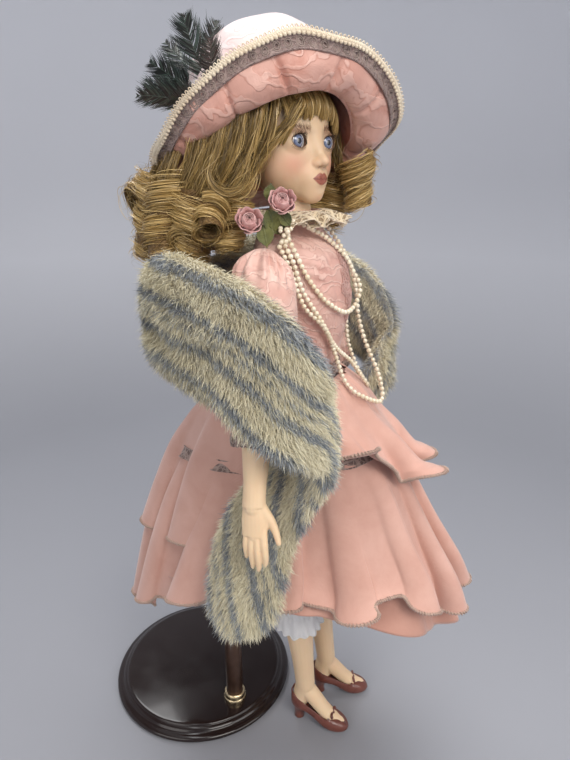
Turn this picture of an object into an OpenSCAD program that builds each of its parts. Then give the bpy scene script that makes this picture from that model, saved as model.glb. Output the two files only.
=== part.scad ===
// Dressed porcelain doll on a round display stand.
// Origin: foot of the stand's rod on the table, +Z up, the doll faces -Y, her left is +X. Millimetres.

/* [Stand] */
// Diameter of the round base
base_d = 150; // [140:1:160]
// Height of the base's top face
base_h = 10; // [9:0.5:12]
// Outside diameter of the fixed lower tube
tube_d = 13.4; // [13:0.1:14]
// Height of the top of the lower tube
tube_top = 188; // [170:1:200]
// Diameter of the sliding inner rod
rod_d = 9; // [8:0.1:9]
// Height of the top of the inner rod
rod_top = 270; // [269:0.5:271]

/* [Doll] */
// Height of the waist seam
waist_z = 301; // [300:0.5:302]
// Height of the head's centre
head_z = 437; // [435:1:439]
// Turn of the head to her right at rest
head_turn = 22; // [15:1:25]
// Radius of the skull
skull_r = 31; // [29:0.5:31]
// Angle of each arm away from the body
arm_spread = 22.7; // [20:0.1:25]
// Angle of each arm forwards
arm_forward = 5.9; // [2:0.1:8]

/* [Dress] */
// Number of folds round the skirt
folds = 9; // [6:1:12]
// Thickness of a layer of skirt
cloth_t = 1.2; // [1:0.1:1.6]

/* [Hat] */
// Radius of the brim's edge
brim_r = 67.4; // [64:0.2:70]
// Inside radius of the crown
crown_r = 41; // [40.5:0.5:43]
// Height of the crown above the brim's edge
crown_h = 60; // [56:1:64]
// Tilt of the hat back and to her left
hat_tilt = 35.2; // [30:0.2:38]

/* [Stole] */
// Half of the fur's thickness
fur_t = 10; // [7:0.5:10]
// Half of the fur's width
fur_w = 27; // [20:0.5:28]

/* [Hidden] */
$fn = 64;
gap = 0.3;                                   // air between bodies
base_c = [26, 42, 0];                        // centre of the base
pad_t = 1;                                   // felt under the base
tube_r = tube_d / 2;
rod_r = rod_d / 2;
bore_r = rod_r + 0.1;                        // running fit of the rod in its tube
screw_r = 2.5;
clip_z = 264;                                // height of the waist clip
clip_r = 1.5;                                // half the clip wire's thickness
torso_c = [4, -48, 0];
neck_c = [5, -40, 0];                        // the head turns about this line
neck_z = 388;                                // top of the shoulder plate
head_c = [6, -37, head_z];
shoulder_x = 44;                             // shoulder pivot from the middle of the torso
shoulder_z = 368;
shoulder_y = -46;
shoulder_cut = 37.3;                         // flat of the arm beside the bodice
arm_len = 120;                               // shoulder to wrist
sleeve_len = 88;
hip_z = 246;
hip_y = -46;
thigh_r = 11.5;
knee_z = 140;
hat_c = [9, -40, 439];
hat_az = 42;                                 // heading of the hat's tilt, from +X
crown_base = 22;                             // the crown starts this far above the brim's edge

// ---------- shared shapes ----------

// One ring of a lofted garment. A level is [z, half width, front, back, wave, front lift, side lift],
// and the last three may be left out.
function extra(l, i) = len(l) > i ? l[i] : 0;
function ring_point(l, c, a, in, down) =
    let (r = 1 + extra(l, 4) * cos(folds * a),
         y = cos(a) > 0 ? l[2] : l[3])
    [c[0] + sin(a) * (l[1] * r - in), c[1] - cos(a) * (y * r - in),
     l[0] + extra(l, 5) * cos(a) - extra(l, 6) * cos(2 * a) - down];
function ring(l, c, n, in, down) = [for (i = [0:n - 1]) ring_point(l, c, 360 * i / n, in, down)];
function flat(v) = [for (a = v) for (b = a) b];
function band(from, to, n) =
    [for (i = [0:n - 1]) each let (k = (i + 1) % n)
        [[from + i, from + k, to + k], [from + i, to + k, to + i]]];

// Hollow garment, open at both ends, from its top level down to its hem
module garment(levels, c, t = cloth_t, down = 0, n = 72) {
    k = len(levels);
    outer = [for (l = levels) ring(l, c, n, 0, 0)];
    inner = [for (i = [k - 1:-1:0]) ring(levels[i], c, n, t, down)];
    faces = [for (j = [0:2 * k - 1]) band(j * n, ((j + 1) % (2 * k)) * n, n)];
    polyhedron(flat(concat(outer, inner)), flat(faces), convexity = 6);
}

// Closed body through the same levels, from the top down
module stuffed(levels, c, n = 40) {
    k = len(levels);
    top = [for (i = [n - 1:-1:0]) i];
    bottom = [for (i = [0:n - 1]) (k - 1) * n + i];
    faces = [for (j = [0:k - 2]) band(j * n, (j + 1) * n, n)];
    polyhedron(flat([for (l = levels) ring(l, c, n, 0, 0)]), concat(flat(faces), [bottom, top]), convexity = 4);
}

// Smooth curve through hand-placed stations (each a list of numbers)
function spline(p, t) =
    let (i = min(floor(t), len(p) - 2), u = t - i,
         a = p[max(i - 1, 0)], b = p[i], c = p[i + 1], d = p[min(i + 2, len(p) - 1)])
    0.5 * (2 * b + (c - a) * u + (2 * a - 5 * b + 4 * c - d) * u * u + (3 * b - a - 3 * c + d) * u * u * u);
function unit(v) = v / norm(v);

// Flat-oval tube along stations [x, y, z, wide axis x, y, z, half thickness, half width]
module oval_tube(p, rings, n) {
    s = [for (j = [0:rings - 1]) spline(p, (len(p) - 1) * j / (rings - 1))];
    pos = [for (q = s) [q[0], q[1], q[2]]];
    dir = [for (j = [0:rings - 1]) unit(pos[min(j + 1, rings - 1)] - pos[max(j - 1, 0)])];
    pts = [for (j = [0:rings - 1])
        let (raw = [s[j][3], s[j][4], s[j][5]],
             w = unit(raw - (raw * dir[j]) * dir[j]),
             h = cross(dir[j], w))
        [for (i = [0:n - 1]) pos[j] + h * s[j][6] * cos(360 * i / n) + w * s[j][7] * sin(360 * i / n)]];
    faces = [for (j = [0:rings - 2]) band(j * n, (j + 1) * n, n)];
    start = [for (i = [n - 1:-1:0]) i];
    end = [for (i = [0:n - 1]) (rings - 1) * n + i];
    polyhedron(flat(pts), concat(flat(faces), [start, end]), convexity = 8);
}

module at_head() { translate(head_c) rotate(-head_turn) children(); }
module at_hat() { translate(hat_c) rotate([0, hat_tilt, hat_az]) children(); }
module at_shoulder(side) {
    translate([torso_c[0] + side * shoulder_x, shoulder_y, shoulder_z])
        rotate([-arm_forward, -side * arm_spread, 0]) children();
}
module beside_bodice(side) {
    intersection() {
        at_shoulder(side) children();
        translate([torso_c[0] + side * (shoulder_cut + 100), shoulder_y, shoulder_z]) cube(200, center = true);
    }
}

// ---------- stand ----------
module stand_base() {
    r = base_d / 2;
    color([0.03, 0.03, 0.03]) difference() {
        translate(base_c) rotate_extrude($fn = 128)
            polygon([[0, pad_t], [r - 1, pad_t], [r, pad_t + 1], [r, 4], [r - 2, 5.5], [r - 5, 6.2], [r - 6.5, 8],
                [r - 8, 8.6], [r - 9, base_h], [0, base_h]]);
        translate([0, 0, -1]) cylinder(r = 5.6, h = pad_t + 4.6);
        cylinder(r = screw_r + 0.3, h = base_h + 1);
    }
}
module base_pad() {
    color([0.1, 0.1, 0.1]) translate(base_c) cylinder(r = base_d / 2 - 3, h = pad_t);
}
module base_screw() {
    color("silver") {
        translate([0, 0, pad_t + 0.4]) cylinder(r = 5, h = 3.2);
        translate([0, 0, pad_t + 3]) cylinder(r = screw_r, h = 22);
    }
}
module tube_plug() {
    color("goldenrod") translate([0, 0, base_h]) difference() {
        cylinder(r = bore_r - 0.05, h = 20);
        translate([0, 0, -1]) cylinder(r = screw_r + 0.05, h = 22);
    }
}
module foot_ring() {
    color([0.75, 0.65, 0.45]) translate([0, 0, base_h]) rotate_extrude()
        polygon([[tube_r + 0.1, 0], [9, 0], [9, 2], [8.2, 3], [8.2, 6], [7.6, 6.8], [tube_r + 0.1, 6.8]]);
}
module stand_tube() {
    color([0.3, 0.2, 0.15]) difference() {
        translate([0, 0, base_h]) cylinder(r = tube_r, h = tube_top - base_h);
        translate([0, 0, base_h - 1]) cylinder(r = bore_r, h = tube_top);
        translate([0, 0, tube_top - 8]) rotate([-90, 0, 0]) cylinder(r = 1.7, h = 10, $fn = 32);
    }
}
module lock_collar() {
    color([0.3, 0.2, 0.15]) difference() {
        translate([0, 0, tube_top - 15]) cylinder(r = tube_r + 2.6, h = 14);
        translate([0, 0, tube_top - 16]) cylinder(r = tube_r + 0.1, h = 16);
        translate([0, 0, tube_top - 8]) rotate([-90, 0, 0]) cylinder(r = 1.7, h = 12, $fn = 32);
    }
}
module thumb_screw() {
    color("goldenrod") translate([0, 0, tube_top - 8]) rotate([-90, 0, 0]) {
        translate([0, 0, rod_r + gap]) cylinder(r = 1.5, h = 10, $fn = 32);
        translate([0, 0, tube_r + 4.2]) cylinder(r = 4.5, h = 4);
    }
}
module stand_rod() {
    color([0.3, 0.2, 0.15]) translate([0, 0, 60]) cylinder(r = rod_r, h = rod_top - 60);
}
module rod_stop() {
    color([0.3, 0.2, 0.15]) translate([0, 0, clip_z - 10]) difference() {
        cylinder(r = 7, h = 5.6);
        translate([0, 0, -1]) cylinder(r = rod_r + 0.05, h = 8);
    }
}

// ---------- waist clip ----------
module clip_hub() {
    color("silver") translate([0, 0, clip_z - 4]) difference() {
        cylinder(r = 7.5, h = 8);
        translate([0, 0, -1]) cylinder(r = bore_r, h = 10);
    }
}
// The clip wire runs out of the hub, then half way round the hips on each side
function clip_arc(side, a) = [6 + side * 33.5 * sin(a), -47 + 28.5 * cos(a), clip_z];
function clip_path(side) = concat([[side * 2, -6.6, clip_z], [side * 2.5, -12, clip_z]],
    [for (a = [18:12:126]) clip_arc(side, a)]);
module clip_wire(side) {
    oval_tube([for (p = clip_path(side)) [p[0], p[1], p[2], 0, 0, 1, clip_r, clip_r]], 36, 10);
}
module waist_clip() {
    color("silver") for (side = [-1, 1]) clip_wire(side);
}
module clip_tips() {
    color([0.9, 0.9, 0.85]) for (side = [-1, 1])
        oval_tube([for (a = [116, 122, 128, 133]) concat(clip_arc(side, a), [0, 0, 1, 2.4, 2.4])], 8, 12);
}

// ---------- body ----------
module torso() {
    color([0.95, 0.92, 0.85]) stuffed([[355, 28, 24, 18], [340, 29, 28, 19], [320, 25, 25, 18], [300, 22.5, 22, 19],
        [285, 26, 22, 21], [272, 28, 24, 23], [264, 28, 23, 22], [258, 25, 19, 18]], torso_c);
}
// Porcelain breast plate: a hollow shoulder bell with a flat socket ring that the neck turns on
module shoulder_plate() {
    color([0.93, 0.76, 0.66]) difference() {
        union() {
            garment([[neck_z, 15.5, 15, 15], [384, 17, 17, 15.5], [379, 24, 21, 16.5], [372, 29, 26, 17.5],
                [356, 30.5, 29, 18.5]], torso_c + [0, 2, 0], 2.4, n = 48);
            translate([torso_c[0], torso_c[1] + 2, neck_z - 2.5]) cylinder(r = 13.4, h = 2.5);
        }
        translate([torso_c[0], torso_c[1] + 2, neck_z - 10]) cylinder(r = 5, h = 20);
    }
}
module bodice() {
    color([0.86, 0.6, 0.58]) garment([[390, 17.4, 16, 19.5], [385.5, 19.5, 18.5, 20.3], [380.5, 27, 23.5, 21.5],
        [373, 32.5, 29, 22], [358, 34, 33, 23], [345, 34, 34, 23.5], [325, 30, 31, 22], [311, 27, 28, 23],
        [waist_z + 1.5, 26.6, 27, 24]], torso_c, 1.2, n = 48);
}
module collar_band() {
    color([0.86, 0.6, 0.58]) translate([torso_c[0], torso_c[1] + 2, neck_z + 2.4]) difference() {
        cylinder(r = 17.2, h = 7.6);
        translate([0, 0, -1]) cylinder(r = 16, h = 10);
    }
}
module collar_ruffle() {
    color([0.93, 0.88, 0.74]) garment([[398.6, 17.6, 17.6, 17.6], [398.4, 21, 25, 20, 0.03], [396, 25, 33, 23, 0.06],
        [392, 28, 39, 25, 0.09]], torso_c + [0, 2, 0], 0, 1);
}
// Two folded-ribbon rosebuds at the right of the neck
rose_at = [[-35, -31, 398, 9.5], [-25.5, -50, 404.5, 8.5]];
module rosebuds() {
    color([0.72, 0.45, 0.45]) for (p = rose_at) translate([p[0], p[1], p[2]]) rotate([0, -50, 20])
        rotate_extrude($fn = 40) polygon([[0, -p[3] * 0.9], [p[3] * 0.6, -p[3] * 0.7], [p[3], 0],
            [p[3] * 0.92, p[3] * 0.5], [p[3] * 0.5, p[3] * 0.8], [0, p[3] * 0.9]]);
}
leaf_at = [[-35, -45, 392, 10], [-31, -56, 391, -40], [-40, -36, 387, 40]];
module rose_leaves() {
    color([0.32, 0.33, 0.18]) for (p = leaf_at) translate([p[0], p[1], p[2]]) rotate([20, 50, p[3]])
        scale([1, 0.55, 0.1]) sphere(r = 9);
}
// Strings of pearls, as beads spaced along a smooth curve over the bodice
short_loop = [[-14, -66, 388], [-12, -77, 375], [-6, -86.5, 355], [2, -88, 343], [11, -86.5, 354], [18, -78, 372],
    [20, -68, 384]];
long_loop = [[-19, -64, 385], [-21.5, -74, 366], [-20, -79, 345], [-16, -81, 325], [-11, -83, 310], [-5, -97, 293],
    [2, -106, 285], [9, -98, 292], [15, -83.5, 308], [21, -81.5, 325], [27, -77, 345], [26, -75, 368], [22, -66, 384]];
function along(q) = [for (i = 0, s = 0; i < len(q); s = s + norm(q[min(i + 1, len(q) - 1)] - q[i]), i = i + 1) s];
module beads(path, count, r) {
    steps = 200;
    q = [for (i = [0:steps]) spline(path, (len(path) - 1) * i / steps)];
    s = along(q);
    color([0.93, 0.89, 0.78]) for (i = [0:count - 1])
        let (at = s[steps] * (i + 0.5) / count)
            translate([for (k = [0:2]) lookup(at, [for (j = [0:steps]) [s[j], q[j][k]]])]) sphere(r = r, $fn = 24);
}
module pearls_short() { beads(short_loop, 33, 1.4); }
module pearls_long() { beads(long_loop, 71, 1.4); }

// ---------- skirts ----------
module waist_lace() {
    color([0.62, 0.52, 0.46]) garment([[waist_z + 7, 28.6, 29.3, 25.5], [waist_z + 0.6, 28.1, 28.6, 25.6]],
        torso_c, 0.9);
}
module petticoat() {
    color([0.9, 0.9, 0.92]) garment([[297, 26.5, 26, 26.5], [289, 34, 34, 40], [276, 40, 45, 56.5], [262, 42.5, 54, 66],
        [235, 43, 70, 81, 0.01], [205, 46, 84, 93, 0.02], [172, 53, 99, 105, 0.03, 0, 6],
        [150, 62, 110, 117, 0.04, 0, 14]], [6, -50, 0]);
}
module skirt() {
    color([0.88, 0.66, 0.61]) garment([[waist_z - 1, 27.5, 28, 28], [290, 36.5, 38, 43], [276, 42.6, 49, 60],
        [262, 45.4, 59, 70, 0.005], [235, 46.5, 76, 86, 0.015], [205, 50, 91, 100, 0.03],
        [176, 57.5, 107, 114, 0.045, 0, 8], [147, 70, 122, 127, 0.055, 0, 22]], [6, -50, 0]);
}
module peplum() {
    color([0.9, 0.68, 0.63]) garment([[waist_z - 0.5, 29.6, 31, 31], [291, 39, 43, 47], [276, 45, 55, 64, 0.005],
        [262, 48.3, 66, 75, 0.01, 2, -2], [245, 49.6, 78, 88, 0.02, 5, -2], [227, 52, 90, 99, 0.035, 14, -3],
        [208, 56.5, 98, 110, 0.05, 22, -6]], [6, -50, 0]);
}

// ---------- fur stole ----------
// Right half, from the middle of the back round the arm to the hanging tail
stole_right = [[4, 12, 340, 0, 0, 1, 1, 0.9], [-38, 15, 340, 0, 0, 1, 1, 0.9], [-70, 4, 338, 0, 0, 1, 1, 1],
    [-91, -22, 335, 0, 0, 1, 1, 1.1], [-95, -53, 326, 0, 0, 1, 1, 1.1], [-85, -80, 310, 0.2, 0, 1, 0.9, 1],
    [-66, -88, 288, 0.7, 0.2, 0.7, 0.8, 0.75], [-57, -75, 262, 0.5, 0.9, 0.3, 0.75, 0.75],
    [-58.5, -58, 238, 0, 1, 0.2, 0.85, 0.85], [-67, -48, 212, 0, 1, 0, 0.9, 0.95],
    [-79, -46, 184, 0, 1, 0, 0.9, 0.9], [-86, -46, 166, 0, 1, 0, 0.45, 0.5]];
function mirrored(q) = [2 * torso_c[0] - q[0], q[1], q[2], -q[3], q[4], q[5], q[6], q[7]];
function sized(q) = [q[0], q[1], q[2], q[3], q[4], q[5], q[6] * fur_t, q[7] * fur_w];
module fur_stole() {
    last = len(stole_right) - 1;
    left = [for (i = [last:-1:1]) sized(mirrored(stole_right[i]))];
    right = [for (q = stole_right) sized(q)];
    color([0.85, 0.83, 0.75]) oval_tube(concat(left, right), 70, 16);
}

// ---------- head ----------
module skull(grow) {
    hull() {
        translate([0, 4, 5]) sphere(r = skull_r + grow, $fn = 28);
        translate([0, -9, -20]) sphere(r = 14.5 + grow, $fn = 20);
        translate([0, -19, -28]) sphere(r = 6.5 + grow, $fn = 16);
    }
}
eye = [12.6, -21.5, -3, 6];                   // place and radius of a glass eye
module head() {
    color([0.95, 0.79, 0.7]) difference() {
        union() {
            at_head() skull(0);
            translate([neck_c[0] - 1, neck_c[1] - 6, neck_z + gap]) cylinder(r1 = 13, r2 = 11.5, h = 26);
        }
        at_head() skull(-3);
        translate([neck_c[0] - 1, neck_c[1] - 6, neck_z + 2.8]) cylinder(r = 9, h = 26);
        translate([neck_c[0] - 1, neck_c[1] - 6, neck_z - 1]) cylinder(r = screw_r + 0.1, h = 6);
        at_head() translate([0, 8, 5 + skull_r]) rotate([-20, 0, 0]) cylinder(r = 20, h = 30, center = true);
        for (side = [-1, 1]) at_head() translate([side * eye[0], eye[1], eye[2]]) rotate([90, 0, 0])
            cylinder(r = eye[3] + 0.2, h = 20, center = true);
    }
}
module crown_pate() {
    color([0.8, 0.75, 0.65]) at_head() difference() {
        intersection() {
            skull(0);
            translate([0, 8, 5 + skull_r]) rotate([-20, 0, 0]) cylinder(r = 19.8, h = 30, center = true);
        }
        skull(-2.5);
    }
}
module eyeball(side) { at_head() translate([side * eye[0], eye[1], eye[2]]) sphere(r = eye[3], $fn = 40); }
module eye_right() { color([0.35, 0.5, 0.75]) eyeball(-1); }
module eye_left() { color([0.35, 0.5, 0.75]) eyeball(1); }

// Bolt, washer and nut that hold the neck on the shoulder plate
module on_neck() { translate([torso_c[0], torso_c[1] + 2, 0]) children(); }
module neck_bolt() {
    color("silver") on_neck() {
        translate([0, 0, neck_z + 2.9]) cylinder(r = 5, h = 3);
        translate([0, 0, neck_z - 16]) cylinder(r = screw_r, h = 19);
    }
}
module neck_washer() {
    color("silver") on_neck() translate([0, 0, neck_z - 2.5 - gap - 1.2]) difference() {
        cylinder(r = 9, h = 1.2);
        translate([0, 0, -1]) cylinder(r = screw_r + 0.1, h = 4);
    }
}
module neck_nut() {
    color("goldenrod") on_neck() translate([0, 0, neck_z - 9.6]) difference() {
        cylinder(r = 5, h = 5, $fn = 6);
        translate([0, 0, -1]) cylinder(r = screw_r + 0.05, h = 7);
    }
}

// ---------- wig ----------
module wig_cap() {
    color([0.72, 0.52, 0.28]) at_head() difference() {
        translate([0, 4, 5]) sphere(r = skull_r + 4.6);
        skull(0.3);
        translate([0, -40, -12]) rotate([-28, 0, 0]) cube([100, 60, 70], center = true);
        translate([0, 0, -45]) cube([100, 100, 70], center = true);
    }
}
module fringe() {
    color([0.78, 0.58, 0.33]) at_head() intersection() {
        difference() {
            translate([0, 2, 5]) sphere(r = skull_r + 5);
            skull(0.4);
        }
        translate([0, -36, 17]) rotate([-28, 0, 0]) cube([44, 30, 14.6], center = true);
    }
}
// A ringlet hangs as a plump spindle: [x, y, z, radius, half length]
module ringlets(list) {
    color([0.74, 0.54, 0.3]) for (q = list)
        translate([q[0], q[1], q[2]]) scale([1, 1, q[4] / q[3]]) sphere(r = q[3], $fn = 40);
}
module curls_right() { ringlets([[-30, -12, 404, 9, 17], [-33, 10, 398, 10, 20], [-24, 31, 394, 11, 22]]); }
module curls_left() { ringlets([[36, -72, 408, 8, 12], [45, -52, 400, 9, 16], [46, -27, 395, 9, 14]]); }
module curls_back() { ringlets([[-4, 42, 392, 10, 24], [17, 41, 390, 10.5, 22], [36, 29, 386, 9, 18]]); }

// ---------- hat ----------
// The felt shell: a domed crown on a wide brim that falls like a bell
hat_profile = [[0, crown_h], [22, crown_h - 2], [34, crown_h - 9], [crown_r, crown_h - 22], [crown_r + 1, crown_base + 2],
    [crown_r + 5, crown_base - 2], [56, 14], [62.5, 8], [brim_r, 0]];
module hat_skin(inset, t) {
    n = len(hat_profile) - 1;
    outer = [for (p = hat_profile) [max(p[0] - inset * p[0] / 20, 0), p[1] - inset]];
    inner = [for (i = [n:-1:0]) [max(outer[i][0] - (i == 0 ? 0 : t), 0), outer[i][1] - t]];
    rotate_extrude($fn = 96) polygon(concat(outer, inner));
}
module hat_shell() { color([0.9, 0.5, 0.45]) at_hat() hat_skin(0, 1.4); }
module hat_lining() {
    color([0.9, 0.66, 0.62]) at_hat() rotate_extrude($fn = 96) polygon([[crown_r - 1.6, crown_base + 1],
        [crown_r + 3.4, crown_base - 3.7], [54.4, 12.3], [60.9, 6.3], [65, 0], [64.2, -0.2], [60, 5.4], [53.6, 11.3],
        [crown_r + 2.6, crown_base - 4.7], [crown_r - 2.6, crown_base + 1]]);
}
module brim_braid() {
    color([0.92, 0.85, 0.7]) at_hat() rotate_extrude($fn = 96)
        translate([brim_r + 0.6, -2.2]) circle(r = 1.5, $fn = 24);
}
module brim_ribbon() {
    color([0.55, 0.48, 0.45]) at_hat() rotate_extrude($fn = 96)
        polygon([[63.4, 0.3], [60.2, 4.7], [55.6, 8.9], [55, 8.3], [59.5, 4.1], [62.6, -0.1]]);
}
// Feather blades rise from the back of the crown: [x, y, z, lean, heading, length]
feather_at = [[-12, 43, 30, 20, 95, 34], [-4, 44, 32, 35, 75, 36], [-20, 42, 28, 45, 125, 38], [-10, 46, 24, 70, 105, 36],
    [-24, 40, 24, 75, 140, 30]];
module feathers() {
    color([0.1, 0.12, 0.12]) at_hat() for (f = feather_at)
        translate([f[0], f[1], f[2]]) rotate([0, f[3], f[4]]) translate([0, 0, f[5] / 2])
            scale([0.1, 0.3, 1]) sphere(r = f[5] / 2, $fn = 40);
}

// ---------- arms ----------
module upper_arm(side) {
    color([0.95, 0.92, 0.85]) beside_bodice(side) {
        translate([0, 0, -76]) cylinder(r = 8.6, h = 76);
        sphere(r = 8.6);
    }
}
module sleeve(side) {
    color([0.87, 0.62, 0.6]) beside_bodice(side) rotate_extrude() polygon([[9, 8.5], [12.5, 7], [16, 1], [17.5, -9],
        [17.3, -24], [15, -45], [13, -66], [12, -sleeve_len], [9, -sleeve_len], [9, -60]]);
}
module cuff(side) {
    color([0.5, 0.42, 0.38]) at_shoulder(side) rotate_extrude()
        polygon([[12.2, 2 - sleeve_len], [13.6, 1 - sleeve_len], [14, -4 - sleeve_len], [9.4, -4 - sleeve_len],
            [9.4, -0.2 - sleeve_len], [12.2, -0.2 - sleeve_len]]);
}
module forearm(side) {
    color([0.95, 0.79, 0.7]) at_shoulder(side) {
        translate([0, 0, -arm_len]) cylinder(r1 = 5.4, r2 = 8.6, h = 43.5);
        hull() {
            translate([0, 0, -arm_len]) sphere(r = 5.4, $fn = 24);
            for (y = [-4.5, 4]) translate([0, y, -arm_len - 14]) sphere(r = 3.8, $fn = 20);
        }
        hull() {
            for (y = [-4.5, 4]) translate([0, y, -arm_len - 14]) sphere(r = 3.8, $fn = 20);
            for (y = [-3, 2.4]) translate([side * -2, y, -arm_len - 31]) sphere(r = 2.4, $fn = 16);
        }
        hull() {
            translate([0, -4, -arm_len - 3]) sphere(r = 3, $fn = 16);
            translate([side * -2, -12, -arm_len - 19]) sphere(r = 2.2, $fn = 16);
        }
    }
}
module upper_arm_right() { upper_arm(-1); }
module sleeve_right() { sleeve(-1); }
module cuff_right() { cuff(-1); }
module forearm_right() { forearm(-1); }
module upper_arm_left() { upper_arm(1); }
module sleeve_left() { sleeve(1); }
module cuff_left() { cuff(1); }
module forearm_left() { forearm(1); }

// ---------- legs ----------
// [hip x, ankle x, ankle y, ankle z, toe-out]
leg_right = [-8, 9, -58.5, 34, 0];
leg_left = [22, 40, -67, 34, 22];
function leg_fall(l) = [l[1] - l[0], l[2] - hip_y, l[3] - hip_z];
module down_leg(l) {
    v = leg_fall(l);
    translate([l[0], hip_y, hip_z]) rotate([asin(v[1] / norm(v)), -asin(v[0] / norm([v[0], v[2]])), 0]) children();
}
module upper_leg(l) {
    color([0.95, 0.92, 0.85]) down_leg(l) {
        sphere(r = thigh_r);
        translate([0, 0, -88]) cylinder(r = thigh_r, h = 88);
    }
}
module pantalette(l) {
    color([0.93, 0.93, 0.95]) down_leg(l) rotate_extrude() polygon([[thigh_r + 0.2, -8], [13.1, -8], [13.3, -60],
        [14.2, -120], [15.2, -142], [13.9, -142], [12.6, -110], [thigh_r + 0.2, -84]]);
}
module lower_leg(l) {
    color([0.94, 0.78, 0.7]) {
        down_leg(l) rotate_extrude() polygon([[0, -89], [11, -89], [11.4, -110], [11.6, -125], [11.2, -145], [9.4, -175],
            [8.1, -200], [8, -212], [0, -212]]);
        translate([l[1], l[2], 0]) rotate(l[4]) {
            hull() {
                translate([0, 1, l[3]]) sphere(r = 7.7, $fn = 22);
                translate([0, 4.5, 17]) sphere(r = 7.2, $fn = 20);
                translate([0, -22, 6.3]) scale([1.25, 1.2, 1]) sphere(r = 6.2, $fn = 20);
                translate([0, -31, 4.3]) scale([1.35, 1, 1]) sphere(r = 4.2, $fn = 20);
            }
            translate([0, 4.2, 0]) cylinder(r1 = 3.4, r2 = 5.4, h = 14);
        }
    }
}
module upper_leg_right() { upper_leg(leg_right); }
module pantalette_right() { pantalette(leg_right); }
module lower_leg_right() { lower_leg(leg_right); }
module upper_leg_left() { upper_leg(leg_left); }
module pantalette_left() { pantalette(leg_left); }
module lower_leg_left() { lower_leg(leg_left); }

stand_base();
base_pad();
base_screw();
tube_plug();
foot_ring();
stand_tube();
lock_collar();
thumb_screw();
stand_rod();
rod_stop();
clip_hub();
waist_clip();
clip_tips();
torso();
shoulder_plate();
bodice();
collar_band();
collar_ruffle();
rosebuds();
rose_leaves();
pearls_short();
pearls_long();
waist_lace();
petticoat();
skirt();
peplum();
fur_stole();
head();
crown_pate();
eye_right();
eye_left();
neck_bolt();
neck_washer();
neck_nut();
wig_cap();
fringe();
curls_right();
curls_left();
curls_back();
hat_shell();
hat_lining();
brim_braid();
brim_ribbon();
feathers();
upper_arm_right();
sleeve_right();
cuff_right();
forearm_right();
upper_arm_left();
sleeve_left();
cuff_left();
forearm_left();
upper_leg_right();
pantalette_right();
lower_leg_right();
upper_leg_left();
pantalette_left();
lower_leg_left();
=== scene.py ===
# Dressed porcelain doll on a round display stand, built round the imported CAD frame.
# Lengths are written in millimetres in the CAD's own frame and turned into metres when a mesh is made.
import math

import bpy
import numpy as np
from mathutils import Matrix, Vector
from mathutils.bvhtree import BVHTree


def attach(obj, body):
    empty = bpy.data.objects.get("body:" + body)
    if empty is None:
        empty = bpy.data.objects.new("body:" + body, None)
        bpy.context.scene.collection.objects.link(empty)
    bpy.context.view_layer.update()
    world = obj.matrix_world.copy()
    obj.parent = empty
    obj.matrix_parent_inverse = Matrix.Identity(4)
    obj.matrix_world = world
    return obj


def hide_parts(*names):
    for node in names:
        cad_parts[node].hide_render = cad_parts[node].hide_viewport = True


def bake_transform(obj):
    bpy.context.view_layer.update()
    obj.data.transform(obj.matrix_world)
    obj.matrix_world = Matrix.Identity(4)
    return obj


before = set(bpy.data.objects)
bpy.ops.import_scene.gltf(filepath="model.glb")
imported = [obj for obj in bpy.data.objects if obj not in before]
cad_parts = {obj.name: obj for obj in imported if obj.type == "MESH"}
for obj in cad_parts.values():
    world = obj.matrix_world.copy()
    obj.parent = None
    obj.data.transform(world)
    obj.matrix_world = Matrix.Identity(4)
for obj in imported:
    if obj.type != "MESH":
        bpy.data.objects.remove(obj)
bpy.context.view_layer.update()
MM = 0.001
TAU = 2 * math.pi


# ---------- mesh building ----------
def quads(nu, nv, wrap_u=False, wrap_v=False):
    """Faces of a grid of nu by nv points, stored row by row."""
    i = np.arange(nu if wrap_u else nu - 1)
    j = np.arange(nv if wrap_v else nv - 1)
    i, j = np.meshgrid(i, j, indexing="ij")
    i2, j2 = (i + 1) % nu, (j + 1) % nv
    return np.stack([i * nv + j, i2 * nv + j, i2 * nv + j2, i * nv + j2], -1).reshape(-1, 4)


class Geo:
    """Collects vertices and faces, with one material index for each batch of faces."""

    def __init__(self):
        self.v, self.f, self.m, self.n = [], [], [], 0

    def add(self, v, f, m=0):
        v = np.asarray(v, float).reshape(-1, 3)
        for part in f if isinstance(f, list) else [f]:
            part = np.asarray(part, int)
            if len(part):
                self.f.append(part + self.n)
                self.m.append(np.broadcast_to(np.asarray(m, int), (len(part),)).copy())
        self.v.append(v)
        self.n += len(v)
        return self

    def moved(self, m):
        """The same faces, with every point placed by a matrix."""
        out = Geo().add(place(m, np.concatenate(self.v)), [])
        out.f, out.m = self.f, self.m
        return out

    def join(self, other):
        """Adds another collection to this one."""
        self.f += [f + self.n for f in other.f]
        self.m += other.m
        self.v += other.v
        self.n += other.n
        return self

    def mesh(self, name, smooth=True, mats=()):
        me = bpy.data.meshes.new(name)
        for m in mats:
            me.materials.append(m)
        v = np.concatenate(self.v) * MM
        me.vertices.add(len(v))
        me.vertices.foreach_set("co", v.astype(np.float32).ravel())
        loops = np.concatenate([f.ravel() for f in self.f]).astype(np.int32)
        sizes = np.concatenate([np.full(len(f), f.shape[1]) for f in self.f])
        me.loops.add(len(loops))
        me.loops.foreach_set("vertex_index", loops)
        me.polygons.add(len(sizes))
        me.polygons.foreach_set("loop_start", (np.cumsum(sizes) - sizes).astype(np.int32))
        me.polygons.foreach_set("material_index", np.concatenate(self.m).astype(np.int32))
        me.polygons.foreach_set("use_smooth", np.full(len(sizes), smooth))
        me.update(calc_edges=True)
        me.validate()
        return me


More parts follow.
